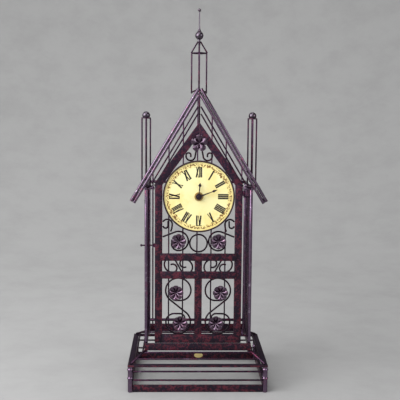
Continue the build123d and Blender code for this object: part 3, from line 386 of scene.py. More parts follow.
@dataclass(frozen=True)
class DialPaper:
    """Cream dial print with age stains and a gilt filigree border.

    The border lies between the two radii of band. Levels are where a pattern starts and ends its rise.
    """

    name: str
    centre: Place
    band: Levels
    paper: Colour = (0.93, 0.87, 0.46)
    stain: Colour = (0.90, 0.72, 0.24)
    gilt: Colour = (0.36, 0.17, 0.03)
    umber: Colour = (0.07, 0.03, 0.01)
    tin: Colour = (0.30, 0.29, 0.27)
    tin_shade: Colour = (0.18, 0.17, 0.16)
    tin_depths: Levels = (0.2 * MM, 0.4 * MM)
    sprigs: int = 44
    corners: int = 4
    corner_reach: float = 3.0 * MM
    corner_levels: Levels = (0.1, 0.9)
    scallop: float = 0.35
    inner_fade: Levels = (-0.15, 0.25)
    outer_fade: Levels = (0.04, -0.06)
    leaf_leans: tuple[float, float] = (4.0, 5.5)
    leaf_levels: Levels = (-0.15, 0.45)
    leaf_share: float = 0.2
    dot_scale: float = 560.0
    dot_levels: Levels = (0.55, 0.25)
    dot_share: float = 0.35
    blot_scale: float = 290.0
    blot_levels: Levels = (0.50, 0.55)
    blot_share: float = 0.75
    wear_scale: float = 70.0
    wear_levels: Levels = (0.26, 0.50)
    cloud_scale: float = 22.0
    cloud_levels: Levels = (0.45, 0.70)
    cloud_share: float = 0.6
    low_levels: Levels = (-0.4, 1.0)
    low_share: float = 0.25
    rim_levels: Levels = (-1.5 * MM, 2.0 * MM)
    rim_share: float = 0.5
    gilt_levels: Levels = (0.16, 0.48)
    umber_specks: Levels = (0.38, 0.54)
    umber_levels: Levels = (0.30, 0.56)
    umber_share: float = 0.85
    speckle_scale: float = 900.0
    speckle_roughness: float = 0.12
    roughness: float = 0.42
    bump: float = 0.06
    bump_depth: float = 0.05 * MM

    def lace(self, graph: Graph, reach: Signal, turn: Signal) -> Signal:
        """Draws the border's leaves, blots and dots.

        Args:
            graph: The material's graph.
            reach: Distance from the dial's middle.
            turn: Angle about it.

        Returns:
            How much of the print shows.
        """
        inner, outer = self.band
        lean, counter_lean = self.leaf_leans
        corner = (turn * self.corners - pi / 2).wave().step(*self.corner_levels) * self.corner_reach
        lift = (reach - inner + corner) / (outer - inner)
        past = (reach - outer) / (outer - inner)
        scallop = abs((turn * (self.sprigs / 2)).wave()) * self.scallop
        within = (lift - scallop).step(*self.inner_fade) * past.step(*self.outer_fade)
        leaf = (turn * self.sprigs + lift * lean).wave() * (turn * self.sprigs - lift * counter_lean).wave()
        leaves = leaf.step(*self.leaf_levels) * self.leaf_share
        grid = {"Vector": graph.place, "Scale": self.dot_scale}
        cells = graph.node("ShaderNodeTexVoronoi", {}, grid, "Distance")
        dots = cells.step(*self.dot_levels) * self.dot_share
        blots = graph.noise(self.blot_scale, detail=2.0, bend=0.6).step(*self.blot_levels) * self.blot_share
        worn = graph.noise(self.wear_scale, roughness=0.6).step(*self.wear_levels)
        return within * worn * (blots + leaves + dots)

    def material(self) -> Material:
        """Builds the material, with print on the front of the plate and bare tin on its back.

        Returns:
            The finished material.
        """
        graph = Graph(self.name)
        axes = [graph.node("ShaderNodeSeparateXYZ", {}, {"Vector": graph.place}, axis) for axis in "XYZ"]
        across, inward, upward = (axis - middle for axis, middle in zip(axes, self.centre))
        behind = inward.step(*self.tin_depths)
        reach = (across * across + upward * upward) ** 0.5
        lace = self.lace(graph, reach, across.angle_from(upward))
        clouds = graph.noise(self.cloud_scale, detail=4.0, roughness=0.6, bend=0.5)
        speckle = graph.noise(self.speckle_scale, detail=2.0)
        low = (upward * -1 / self.band[1]).step(*self.low_levels)
        stained = clouds.step(*self.cloud_levels) * self.cloud_share + low * self.low_share
        aged = graph.blend(stained, self.paper, self.stain)
        rim = (reach - self.band[0]).step(*self.rim_levels) * self.rim_share
        tinted = graph.blend(rim, aged, self.stain)
        printed = graph.blend(lace.step(*self.gilt_levels), tinted, self.gilt)
        dark = (lace * speckle.step(*self.umber_specks)).step(*self.umber_levels)
        front = graph.blend(dark * self.umber_share, printed, self.umber)
        graph.dress(
            Base_Color=graph.blend(behind, front, graph.blend(clouds, self.tin, self.tin_shade)),
            Roughness=self.roughness + speckle * self.speckle_roughness,
        )
        graph.relief(speckle, self.bump, self.bump_depth)
        return graph.material


class Finish(Enum):
    """The finishes of the clock, each with its recipe."""

    BAR = Patina(
        "lacquered_bar",
        ground=(0.006, 0.002, 0.010), wine=(0.104, 0.014, 0.026), violet=(0.064, 0.030, 0.074),
        wine_levels=(0.46, 0.60), gloss=0.42, edge=(1.0, 0.9, 1.0),
        # painted light that brightens the bars with height, and painted shade on their faces that look up
        cloud=92.0, fleck=290.0, speckle=0.42, painted_top_shade=0.9, painted_height_light=0.34,
    )
    ROD = Patina(
        "lacquered_rod",
        ground=(0.040, 0.020, 0.040), wine=(0.130, 0.024, 0.055), violet=(0.200, 0.115, 0.205),
        wine_levels=(0.50, 0.66), gloss=0.20, metal=0.85, coat=0.1,
    )
    TUBE = Patina(
        "lacquered_tube",
        ground=(0.150, 0.100, 0.158), wine=(0.270, 0.066, 0.125), violet=(0.600, 0.500, 0.610),
        wine_levels=(0.53, 0.69), gloss=0.10, metal=0.95, coat=0.1, bump=0.12,
    )
    RAFTER = Patina(
        "lacquered_rafter",
        ground=(0.150, 0.106, 0.156), wine=(0.260, 0.066, 0.124), violet=(0.640, 0.560, 0.650),
        wine_levels=(0.53, 0.69), gloss=0.08, metal=0.95, coat=0.1, bump=0.06,
    )
    BALL = Patina(
        "lacquered_ball",
        ground=(0.080, 0.062, 0.086), wine=(0.130, 0.060, 0.085), violet=(0.420, 0.370, 0.430),
        wine_levels=(0.52, 0.68), gloss=0.01, metal=0.95, coat=0.5, bump=0.03,
    )
    SCROLL = Patina(
        "lacquered_scroll",
        ground=(0.014, 0.007, 0.013), wine=(0.060, 0.012, 0.022), violet=(0.070, 0.036, 0.070),
        wine_levels=(0.52, 0.68), gloss=0.26, metal=0.6, coat=0.25,
    )
    FLOWER = Patina(
        "lacquered_flower",
        ground=(0.100, 0.064, 0.098), wine=(0.150, 0.066, 0.105), violet=(0.480, 0.400, 0.490),
        wine_levels=(0.50, 0.66), gloss=0.12, metal=0.95, coat=0.3, bump=0.03, cloud=40.0, fleck=200.0,
    )
    DIAL = DialPaper("dial_paper", centre=(0.0, 0.0, 0.0), band=(62.0 * MM, 70.5 * MM))
    INK = Plain("numeral_ink", (0.006, 0.003, 0.004), (0.018, 0.009, 0.009), 0.60)
    BLACK = Plain("hand_black", (0.018, 0.010, 0.016), (0.040, 0.020, 0.030), 0.32, metallic=0.3)
    HOOP = Plain("hoop_black", (0.022, 0.011, 0.016), (0.050, 0.018, 0.026), 0.34, metallic=0.3)
    BRASS = Plain("satin_brass", (0.62, 0.42, 0.15), (0.34, 0.20, 0.06), 0.34, metallic=1.0, grain=900.0)
    PLATE = Plain("pale_brass", (0.80, 0.66, 0.30), (0.60, 0.44, 0.16), 0.40, metallic=0.35, grain=500.0)
    CASE = Plain("moulded_black", (0.020, 0.020, 0.022), (0.036, 0.035, 0.036), 0.46, grain=1500.0)
    GEAR = Plain("moulded_white", (0.80, 0.79, 0.74), (0.68, 0.66, 0.60), 0.36, grain=1500.0)
    CELL = Plain("grey_jacket", (0.17, 0.18, 0.20), (0.10, 0.10, 0.11), 0.30, metallic=0.4)
    STEEL = Plain("bright_steel", (0.56, 0.56, 0.57), (0.36, 0.36, 0.37), 0.28, metallic=1.0, grain=1100.0)
    BOARD = Plain("green_laminate", (0.03, 0.17, 0.07), (0.02, 0.10, 0.05), 0.40)
    FLOOR = Plain("pale_floor", (0.365,) * 3, (0.315,) * 3, 0.90, grain=60.0, depth=0.4 * MM)


class Palette:
    """Makes each material once and hands it out."""

    def __init__(self, dial_centre: Place) -> None:
        """Keeps the dial's centre, which its print is drawn about.

        Args:
            dial_centre: Middle of the dial's front face.
        """
        self.dial_centre = dial_centre
        self.made: dict[Finish, Material] = {}

    def __getitem__(self, finish: Finish) -> Material:
        """Gives the material of a finish, made when it is first asked for.

        Args:
            finish: The finish.

        Returns:
            Its material.
        """
        if finish not in self.made:
            recipe = finish.value
            if finish is Finish.DIAL:
                recipe = replace(recipe, centre=self.dial_centre)
            self.made[finish] = recipe.material()
        return self.made[finish]


# Shapes and pieces

def body_of(node: str) -> str:
    """Gives the name of the body that carries a CAD node."""
    bodies = frame["record"]["behaviour"]["bodies"]
    return next(name for name, members in bodies.items() if node in members)


def slot_of(node: str) -> str:
    """Gives the record's material slot of a CAD node."""
    rows = frame["record"]["subparts"]
    return next(row["material_slot"] for row in rows if row["node"] == node)


def node_shape(node: str) -> Shape:
    """Copies a CAD node's mesh, with its corners merged and its flats joined.

    Args:
        node: The CAD node.

    Returns:
        The copy.
    """
    shape = bmesh.new()
    shape.from_mesh(frame["nodes"][node].data)
    bmesh.ops.remove_doubles(shape, verts=shape.verts, dist=MERGE_DISTANCE)
    bmesh.ops.dissolve_limit(shape, angle_limit=FLAT_ANGLE, verts=shape.verts, edges=shape.edges)
    return shape


def loose_parts(shape: Shape) -> list[list[Corner]]:
    """Splits a shape into its separate solids.

    Args:
        shape: A shape of one or more closed solids.

    Returns:
        The corners of each solid.
    """
    parts = []
    seen: set[int] = set()
    shape.verts.index_update()
    for start in shape.verts:
        if start.index in seen:
            continue
        seen.add(start.index)
        part = [start]
        for corner in part:
            for edge in corner.link_edges:
                other = edge.other_vert(corner)
                if other.index not in seen:
                    seen.add(other.index)
                    part.append(other)
        parts.append(part)
    return parts


def middle_of(corners: Iterable[Corner]) -> tuple[Vector, Vector]:
    """Measures the box round some corners.

    Args:
        corners: The corners.

    Returns:
        The middle and the size of the box.
    """
    places = [corner.co for corner in corners]
    low = Vector(min(place[axis] for place in places) for axis in range(3))
    high = Vector(max(place[axis] for place in places) for axis in range(3))
    return (low + high) / 2, high - low


def edges_of(corners: Iterable[Corner]) -> list[Edge]:
    """Gives the edges that meet at some corners, each once."""
    return list(dict.fromkeys(edge for corner in corners for edge in corner.link_edges))


def bevel(shape: Shape, edges: list[Edge], width: float, steps: int) -> None:
    """Rounds some edges of a shape.

    Args:
        shape: The shape to change.
        edges: The edges to round.
        width: Width of the rounding.
        steps: Facets across it.
    """
    bmesh.ops.bevel(
        shape, geom=edges, offset=width, offset_type="OFFSET", segments=steps, profile=0.5,
        affect="EDGES", clamp_overlap=True, material=-1,
    )


def soften(shape: Shape, width: float, steps: int, angle: float = ROUND_ANGLE) -> None:
    """Rounds the sharp edges of a shape.

    Args:
        shape: The shape to change.
        width: Width of the rounding.
        steps: Facets across it.
        angle: Only edges that turn by more than this are rounded.
    """
    bevel(shape, [edge for edge in shape.edges if edge.calc_face_angle(0.0) > angle], width, steps)


def close_up(shape: Shape) -> None:
    """Merges a shape's doubles and turns its faces outwards."""
    bmesh.ops.remove_doubles(shape, verts=shape.verts, dist=MERGE_DISTANCE)
    bmesh.ops.recalc_face_normals(shape, faces=shape.faces)


def spin_up(shape: Shape, x: float, y: float, profile: Profile, steps: int = 32) -> None:
    """Adds an upright turned piece to a shape.

    Args:
        shape: The shape to add to.
        x: Place of the axis.
        y: Place of the axis.
        profile: Radius and height of each point, from one end of the axis to the other.
        steps: Facets round the axis.
    """
    corners = [shape.verts.new((x + radius, y, height)) for radius, height in profile]
    edges = [shape.edges.new(pair) for pair in zip(corners, corners[1:])]
    bmesh.ops.spin(
        shape, geom=corners + edges, cent=(x, y, 0.0), axis=(0.0, 0.0, 1.0), angle=2 * pi, steps=steps,
        use_merge=True,
    )


def ball_line(middle: float, radius: float, low: float, high: float, steps: int = 12) -> Profile:
    """Gives a ball's profile between two latitudes.

    Args:
        middle: Height of its middle.
        radius: Its radius.
        low: Lower latitude in degrees.
        high: Upper latitude in degrees.
        steps: Parts of the line.

    Returns:
        Radius and height of each point.
    """
    turns = [radians(low + (high - low) * index / steps) for index in range(steps + 1)]
    return [(max(radius * cos(turn), 0.0), middle + radius * sin(turn)) for turn in turns]


def make_object(shape: Shape, name: str, finish: Material) -> bpy.types.Object:
    """Makes an object of a finished shape, which is freed.

    Args:
        shape: The shape, in the clock's own frame.
        name: The object's name.
        finish: Its material.

    Returns:
        The object.
    """
    mesh = bpy.data.meshes.new(name)
    shape.to_mesh(mesh)
    shape.free()
    mesh.materials.append(finish)
    mesh.shade_smooth()
    mesh.set_sharp_from_angle(angle=SHARP_ANGLE)
    made = bpy.data.objects.new(name, mesh)
    bpy.context.scene.collection.objects.link(made)
    return made


def add_piece(shape: Shape, name: str, finish: Material, node: str, hides: bool = True) -> None:
    """Makes a piece of a finished shape, which is freed.

    Args:
        shape: The shape, in the clock's own frame.
        name: The piece's name.
        finish: Its material.
        node: The CAD node whose body it takes.
        hides: Whether it stands for that node.
    """
    piece = make_object(shape, name, finish)
    if hides:
        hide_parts(node)
    slot_of(node)
    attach(piece, body_of(node))
    log.info("%s: %d faces", name, len(piece.data.polygons))


def dress_node(node: str, finish: Material) -> None:
    """Gives a finish to a CAD node whose shape stays.

    Args:
        node: The CAD node.
        finish: Its material.
    """
    slots = frame["nodes"][node].data.materials
    slots.clear()
    slots.append(finish)
    log.info("%s: dressed", node)


# Metalwork

@dataclass
class RodWork:
    """Round rods drawn along the axis of each thin rod of the cage."""

    palette: Palette
    nodes: tuple[str, ...] = (
        "base_rail_rods", "deck_hip_rods", "deck_step_rods", "side_wall_rods", "back_wall_rods",
        "back_cross_rods", "front_rafters", "back_rafters", "roof_purlins", "king_rod", "gable_chevrons",
        "tower_top_rails", "turret_rods", "belfry_posts", "belfry_rings", "belfry_hip_rods",
        "tower_corner_posts",
    )
    finishes: ClassVar[dict[str, Finish]] = {
        "front_rafters": Finish.RAFTER,
        "tower_top_rails": Finish.TUBE,
        "tower_corner_posts": Finish.TUBE,
    }
    stout: ClassVar[dict[str, float]] = {"deck_hip_rods": 1.5, "base_rail_rods": 1.2, "front_rafters": 1.15}
    reach: ClassVar[dict[str, float]] = {"belfry_hip_rods": 2.4 * MM}
    sides: int = 20
    end_round: float = 0.45 * MM
    end_steps: int = 2
    end_angle: float = radians(60)

    def rod(self, shape: Shape, corners: list[Corner], share: float, extra: float) -> None:
        """Adds one round rod.

        Args:
            shape: The shape to add to.
            corners: The corners of the CAD rod that it follows.
            share: Its thickness as a share of the CAD rod's.
            extra: Length added at each end.
        """
        longest = max(edges_of(corners), key=lambda edge: edge.calc_length())
        line = (longest.verts[1].co - longest.verts[0].co).normalized()
        middle = middle_of(corners)[0]
        offsets = [corner.co - middle for corner in corners]
        along = max(offset.dot(line) for offset in offsets) + extra
        radius = share * max((offset - line * offset.dot(line)).length for offset in offsets)
        turn = Vector((0, 0, 1)).rotation_difference(line).to_matrix().to_4x4()
        made = bmesh.ops.create_cone(
            shape, cap_ends=True, segments=self.sides, radius1=radius, radius2=radius, depth=2 * along,
            matrix=Matrix.Translation(middle) @ turn,
        )
        rims = [edge for edge in edges_of(made["verts"]) if edge.calc_face_angle(0.0) > self.end_angle]
        bevel(shape, rims, self.end_round, self.end_steps)

    def build(self) -> None:
        """Makes the rods of every node."""
        for node in self.nodes:
            pattern = node_shape(node)
            shape = bmesh.new()
            for part in loose_parts(pattern):
                self.rod(shape, part, self.stout.get(node, 1.0), self.reach.get(node, 0.0))
            pattern.free()
            finish = self.finishes.get(node, Finish.ROD)
            add_piece(shape, "round_" + node, self.palette[finish], node)


@dataclass
class BarWork:
    """Flat bars, plates and hardware with broken edges."""

    palette: Palette
    bars: tuple[str, ...] = (
        "base_bottom_bars", "base_top_bars", "tower_bottom_bars", "turret_plates", "door_stiles",
        "door_gable_bars", "door_bottom_rail", "door_mullion", "door_crossbars",
    )
    hardware: tuple[str, ...] = ("hinge_pintles", "hinge_knuckles", "latch_eye")
    edge: float = 0.45 * MM
    edge_steps: int = 2
    # Painted shade: the foot of these bars is drawn down over the gap under the door, so the gap reads dark.
    lipped: tuple[str, ...] = ("door_bottom_rail", "door_stiles")
    lip: float = 0.6 * MM

    def draw_down(self, shape: Shape) -> None:
        """Lowers the foot of a bar over most of the gap under the door, so the bar stands in for the shade
        in that gap.

        Args:
            shape: The bar to change.
        """
        foot = min(corner.co.z for corner in shape.verts)
        low = [corner for corner in shape.verts if corner.co.z < foot + MERGE_DISTANCE]
        bmesh.ops.translate(shape, vec=(0.0, 0.0, -self.lip), verts=low)

    def build(self) -> None:
        """Makes every bar and the door's hardware."""
        for node in self.bars + self.hardware:
            shape = node_shape(node)
            if node in self.lipped:
                self.draw_down(shape)
            soften(shape, self.edge, self.edge_steps)
            finish = Finish.BAR if node in self.bars else Finish.ROD
            add_piece(shape, "soft_" + node, self.palette[finish], node)


@dataclass
class ScrollWork:
    """Scrolls with their square section rounded off."""

    palette: Palette
    nodes: tuple[str, ...] = (
        "lower_scrolls", "middle_scrolls", "upper_scrolls", "centre_ring", "side_curls", "gable_scrolls",
    )
    rounding: float = 1.0 * MM
    rounding_steps: int = 3
    rounding_angle: float = radians(50)
    swell: float = 0.22 * MM

    def build(self) -> None:
        """Makes every scroll."""
        for node in self.nodes:
            shape = node_shape(node)
            soften(shape, self.rounding, self.rounding_steps, self.rounding_angle)
            shape.normal_update()
            for corner in shape.verts:
                corner.co += corner.normal * self.swell
            add_piece(shape, "round_" + node, self.palette[Finish.SCROLL], node)


@dataclass
class TurnedWork:
    """Base posts, turret balls, finial and latch pin, with latitudes in degrees."""

    palette: Palette
    post_r: float = 5.4 * MM
    bead_r: float = 6.6 * MM
    bead_height: float = 5.0 * MM
    bead_middles: tuple[float, float] = (30.6 * MM, 49.6 * MM)
    bead_steps: int = 8
    foot_round: float = 0.9 * MM
    turret_ball_r: float = 8.3 * MM
    turret_ball_foot: float = 30.0
    turret_ball_steps: int = 14
    neck_r: float = 2.5 * MM
    neck_length: float = 12.0 * MM
    collar_r: float = 3.75 * MM
    collar_slope: float = 0.4 * MM
    collar_low: float = 0.6 * MM
    collar_high: float = 0.4 * MM
    ball_r: float = 9.0 * MM
    ball_reach: float = 62.0
    cone_r: float = 3.7 * MM
    cone_foot_r: float = 4.625 * MM
    cone_foot_height: float = 1.2 * MM
    cone_rise: float = 12.5 * MM
    cone_steps: int = 6
    cone_power: float = 1.6
    spike_r: float = 1.1 * MM
    spike_length: float = 30.0 * MM
    tip_r: float = 3.5 * MM
    tip_reach: float = 70.0
    pin_r: float = 1.5 * MM
    pin_taper: float = 0.5 * MM
    pin_taper_length: float = 0.6 * MM
    pin_sides: int = 24
    knob_r: float = 2.6 * MM
    knob_reach: float = 54.0

    def posts(self) -> None:
        """Makes the four corner posts of the base."""
        low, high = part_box("base_corner_posts")
        foot = low.z + self.foot_round
        profile = [(0.0, low.z), (self.post_r - self.foot_round, low.z), (self.post_r, foot)]
        for middle in self.bead_middles:
            for index in range(self.bead_steps + 1):
                share = index / self.bead_steps
                swell = (self.bead_r - self.post_r) * sin(pi * share)
                profile.append((self.post_r + swell, middle + (share - 0.5) * self.bead_height))
        profile += [(self.post_r, high.z), (0.0, high.z)]
        shape = bmesh.new()
        for x in (low.x + self.bead_r, high.x - self.bead_r):
            for y in (low.y + self.bead_r, high.y - self.bead_r):
                spin_up(shape, x, y, profile)
        close_up(shape)
        add_piece(shape, "turned_base_posts", self.palette[Finish.TUBE], "base_corner_posts")

    def balls(self) -> None:
        """Makes the turret balls, each cut flat where it sits on its cap."""
        shape = bmesh.new()
        pattern = node_shape("turret_balls")
        for part in loose_parts(pattern):
            middle, size = middle_of(part)
            foot = middle.z - size.z / 2
            heart = foot + self.turret_ball_r * sin(radians(self.turret_ball_foot))
            line = ball_line(heart, self.turret_ball_r, -self.turret_ball_foot, POLE, self.turret_ball_steps)
            spin_up(shape, middle.x, middle.y, [(0.0, foot)] + line)
        pattern.free()
        close_up(shape)
        add_piece(shape, "turned_turret_balls", self.palette[Finish.BALL], "turret_balls")

    def finial(self) -> None:
        """Makes the finial: neck, collar, ball, cone, spike and tip ball."""
        low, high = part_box("finial")
        neck_top = low.z + self.neck_length
        collar = neck_top - self.collar_low
        ball = neck_top + sqrt(self.ball_r**2 - self.neck_r**2)
        cone = ball + sqrt(self.ball_r**2 - self.cone_r**2)
        cone_foot = cone + self.cone_foot_height
        spike_top = cone + self.cone_rise + self.spike_length
        tip = spike_top + sqrt(self.tip_r**2 - self.spike_r**2)
        profile = [(0.0, low.z), (self.neck_r, low.z), (self.neck_r, collar - self.collar_slope)]
        profile += [(self.collar_r, collar), (self.collar_r, neck_top + self.collar_high)]
        profile += ball_line(ball, self.ball_r, -self.ball_reach, self.ball_reach)
        profile += [(self.cone_foot_r, (cone + cone_foot) / 2), (self.cone_r, cone_foot)]
        for index in range(1, self.cone_steps + 1):
            share = index / self.cone_steps
            waist = self.spike_r + (self.cone_r - self.spike_r) * (1 - share) ** self.cone_power
            profile.append((waist, cone_foot + share * (self.cone_rise - self.cone_foot_height)))
        profile.append((self.spike_r, spike_top))
        profile += ball_line(tip, self.tip_r, -self.tip_reach, POLE)
        shape = bmesh.new()
        spin_up(shape, (low.x + high.x) / 2, (low.y + high.y) / 2, profile)
        close_up(shape)
        add_piece(shape, "turned_finial", self.palette[Finish.BALL], "finial")

    def latch(self) -> None:
        """Makes the latch pin with its ball knob."""
        low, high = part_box("latch_pin")
        length = high.x - low.x
        profile = ball_line(self.knob_r, self.knob_r, -POLE, self.knob_reach)
        profile += [(self.pin_r, 2 * self.knob_r), (self.pin_r, length - self.pin_taper_length)]
        profile += [(self.pin_r - self.pin_taper, length), (0.0, length)]
        shape = bmesh.new()
        spin_up(shape, 0.0, 0.0, profile, self.pin_sides)
        close_up(shape)
        lie = Matrix.Rotation(pi / 2, 4, "Y")
        middle = Vector((low.x, (low.y + high.y) / 2, (low.z + high.z) / 2))
        bmesh.ops.transform(shape, matrix=Matrix.Translation(middle) @ lie, verts=shape.verts)
        add_piece(shape, "turned_latch_pin", self.palette[Finish.ROD], "latch_pin")

    def build(self) -> None:
        """Makes every turned piece."""
        self.posts()
        self.balls()
        self.finial()
        self.latch()


@dataclass(frozen=True)
class Die:
    """The die that presses one kind of flower.

    It has the number of petals, the depth of the gaps between them as a share of the radius, and the depths
    of the dish and of each petal.
    """

    petals: int
    notch: float
    dish: float
    swell: float


@dataclass
class PressedFlowers:
    """Dished sheet flowers with rounded petals that meet in folds."""

    palette: Palette
    rosette: Die = Die(petals=8, notch=0.13, dish=5.5 * MM, swell=3.0 * MM)
    gable: Die = Die(petals=5, notch=0.34, dish=3.5 * MM, swell=4.5 * MM)
    hub: float = 0.07
    sheet: float = 0.9 * MM
    rings: int = 9
    per_petal: int = 12
    notch_rise: float = 1.5
    notch_point: int = 3
    dish_rise: float = 1.25
    swell_reach: float = 0.85

    def lay(self, flat: Vector, share: float, radius: float, die: Die) -> Vector:
        """Places one point of a flower.

        Args:
            flat: Direction from the flower's middle.
            share: How far out the point lies, as a share of the radius.
            radius: The flower's radius.
            die: The die it is pressed in.

        Returns:
            The point to the right, to the back and upwards from the flower's seat.
        """
        turns = Vector((0.0, 1.0)).angle_signed(flat) / (2 * pi) * die.petals
        beside = abs(turns - round(turns)) * 2
        reach = radius * share * (1 - die.notch * share**self.notch_rise * beside**self.notch_point)
        bulge = die.swell * (1 - beside**2) * sin(pi * share * self.swell_reach)
        forward = die.dish * share**self.dish_rise + bulge
        return Vector((flat.x * reach, -forward, flat.y * reach))

    def flower(self, shape: Shape, middle: Vector, size: Vector, die: Die) -> None:
        """Adds one flower.

        Args:
            shape: The shape to add to.
            middle: Middle of the CAD flower's box.
            size: Size of that box.
            die: The die it is pressed in.
        """
        radius = max(size.x, size.z) / 2
        seat = Vector((middle.x, middle.y + size.y / 2 - self.sheet, middle.z))
        count = die.petals * self.per_petal
        made = bmesh.ops.create_circle(shape, cap_ends=True, segments=count, radius=1.0)
        ring = list(made["verts"])
        faces = list(ring[0].link_faces)
        shares = {corner: self.hub for corner in ring}
        edges = edges_of(ring)
        for index in range(1, self.rings + 1):
            grown = bmesh.ops.extrude_edge_only(shape, edges=edges)["geom"]
            edges = [item for item in grown if isinstance(item, Edge) and item.is_boundary]
            share = self.hub + (1 - self.hub) * index / self.rings
            shares.update({corner: share for corner in grown if isinstance(corner, Corner)})
            faces += [item for item in grown if isinstance(item, Face)]
        for corner, share in shares.items():
            flat = Vector((corner.co.x, corner.co.y)).normalized()
            corner.co = seat + self.lay(flat, share, radius, die)
        bmesh.ops.recalc_face_normals(shape, faces=faces)
        bmesh.ops.solidify(shape, geom=faces, thickness=self.sheet)

    def build(self) -> None:
        """Makes the rosettes and the gable flower."""
        for node, die in (("door_rosettes", self.rosette), ("gable_flower", self.gable)):
            pattern = node_shape(node)
            shape = bmesh.new()
            for part in loose_parts(pattern):
                middle, size = middle_of(part)
                self.flower(shape, middle, size, die)
            pattern.free()
            bmesh.ops.recalc_face_normals(shape, faces=shape.faces)
            add_piece(shape, "pressed_" + node, self.palette[Finish.FLOWER], node)


# Dial and movement

class Stroke(Enum):
    """The weights of a numeral's strokes, as shares of its height."""

    THICK = 0.150
    THIN = 0.070


@dataclass
class DialWork:
    """Dial plate, printed numerals, hoop, hands and their nuts.

    The sizes of the letters, from stroke_gap to widest, are shares of a numeral's height.
    """

    palette: Palette
    numerals: tuple[str, ...] = ("XII", "I", "II", "III", "IIII", "V", "VI", "VII", "VIII", "IX", "X", "XI")
    numeral_low: float = 41.0 * MM
    numeral_high: float = 63.0 * MM
    print_depth: float = 0.10 * MM
    stroke_gap: float = 0.180
    wide: float = 0.36
    serif: float = 0.075
    serif_inset: float = 0.02
    stem_inset: float = 0.06
    widest: float = 0.64
    hub_r: float = 9.0 * MM
    blade_shares: ClassVar[dict[str, float]] = {"hour_hand": 1.5, "minute_hand": 0.75}
    hoop_edge: float = 0.8 * MM
    hand_edge: float = 0.25 * MM
    nut_edge: float = 0.6 * MM
    plate_edge: float = 0.3 * MM
    edge_steps: int = 3

    def glyph(self, letter: str) -> tuple[float, list[tuple[Vector, Vector, Stroke]]]:
        """Gives the strokes of one letter of unit height.

        Args:
            letter: I, V or X.

        Returns:
            Its width, and each stroke's start, end and weight.
        """
        if letter == "I":
            width = self.stroke_gap
            stems = [(width / 2, width / 2, Stroke.THICK)]
        else:
            width = self.wide
            side = self.stem_inset
            foot, back = (width / 2, width / 2) if letter == "V" else (width - side, side)
            stems = [(side, foot, Stroke.THICK), (width - side, back, Stroke.THIN)]
        strokes = [(Vector((top, 1.0)), Vector((foot, 0.0)), weight) for top, foot, weight in stems]
        for top, foot, _ in stems:
            ends = [(top, 1 - self.serif_inset)]
            if letter != "V":
                ends.append((foot, self.serif_inset))
            for spot, level in ends:
                left = Vector((spot - self.serif, level))
                right = Vector((spot + self.serif, level))
                strokes.append((left, right, Stroke.THIN))
        return width, strokes

    def write_numerals(self, centre: Vector) -> None:
        """Lays the twelve numerals on the dial.

        Args:
            centre: Middle of the dial's front face.
        """
        shape = bmesh.new()
        tall = self.numeral_high - self.numeral_low
        for hour, word in enumerate(self.numerals):
            drawn = [self.glyph(letter) for letter in word]
            total = sum(width for width, _ in drawn)
            squeeze = min(1.0, self.widest / total)
            left = -total / 2
            turn = Matrix.Rotation(2 * pi * hour / len(self.numerals), 4, "Y")
            for width, strokes in drawn:
                for start, end, weight in strokes:
                    middle = (start + end) / 2 + Vector((left, 0.0))
                    run = end - start
                    run.x *= squeeze
                    lean = Matrix.Rotation(-Vector((1.0, 0.0)).angle_signed(run), 4, "Y")
                    spot = (middle.x * squeeze * tall, 0.0, self.numeral_low + middle.y * tall)
                    sides = (run.length * tall, self.print_depth, weight.value * tall * squeeze)
                    size = Matrix.Diagonal((*sides, 1.0))
                    place = Matrix.Translation(centre) @ turn @ Matrix.Translation(spot) @ lean @ size
                    bmesh.ops.create_cube(shape, size=1.0, matrix=place)
                left += width
        add_piece(shape, "dial_numerals", self.palette[Finish.INK], "dial_plate", hides=False)

    def trim_blade(self, shape: Shape, centre: Vector, share: float) -> None:
        """Makes the blade of a hand wider or narrower outside its hub.

        Args:
            shape: The hand.
            centre: Middle of the dial.
            share: New width as a share of the old.
        """
        spots = {corner: Vector((corner.co.x - centre.x, corner.co.z - centre.z)) for corner in shape.verts}
        tip = max(spots.values(), key=lambda spot: spot.length)
        lean = Matrix.Rotation(Vector((0.0, 1.0)).angle_signed(tip), 4, "Y")
        blade = [corner for corner, spot in spots.items() if spot.length > self.hub_r]
        space = (Matrix.Translation(centre) @ lean).inverted()
        bmesh.ops.scale(shape, vec=(share, 1.0, 1.0), space=space, verts=blade)

    def build(self) -> None:
        """Makes everything on the dial."""
        low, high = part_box("dial_plate")
        centre = Vector(((low.x + high.x) / 2, low.y - self.print_depth / 2, (low.z + high.z) / 2))
        dress_node("dial_plate", self.palette[Finish.DIAL])
        self.write_numerals(centre)
        trims = (
            ("dial_ring", Finish.HOOP, self.hoop_edge),
            ("minute_hand", Finish.BLACK, self.hand_edge),
            ("hour_hand", Finish.BLACK, self.hand_edge),
            ("hand_nut", Finish.BLACK, self.nut_edge),
            ("mounting_nut", Finish.BRASS, self.nut_edge),
            ("oval_plate", Finish.PLATE, self.plate_edge),
        )
        for node, finish, edge in trims:
            shape = node_shape(node)
            if node in self.blade_shares:
                self.trim_blade(shape, centre, self.blade_shares[node])
            soften(shape, edge, self.edge_steps)
            add_piece(shape, "soft_" + node, self.palette[finish], node)


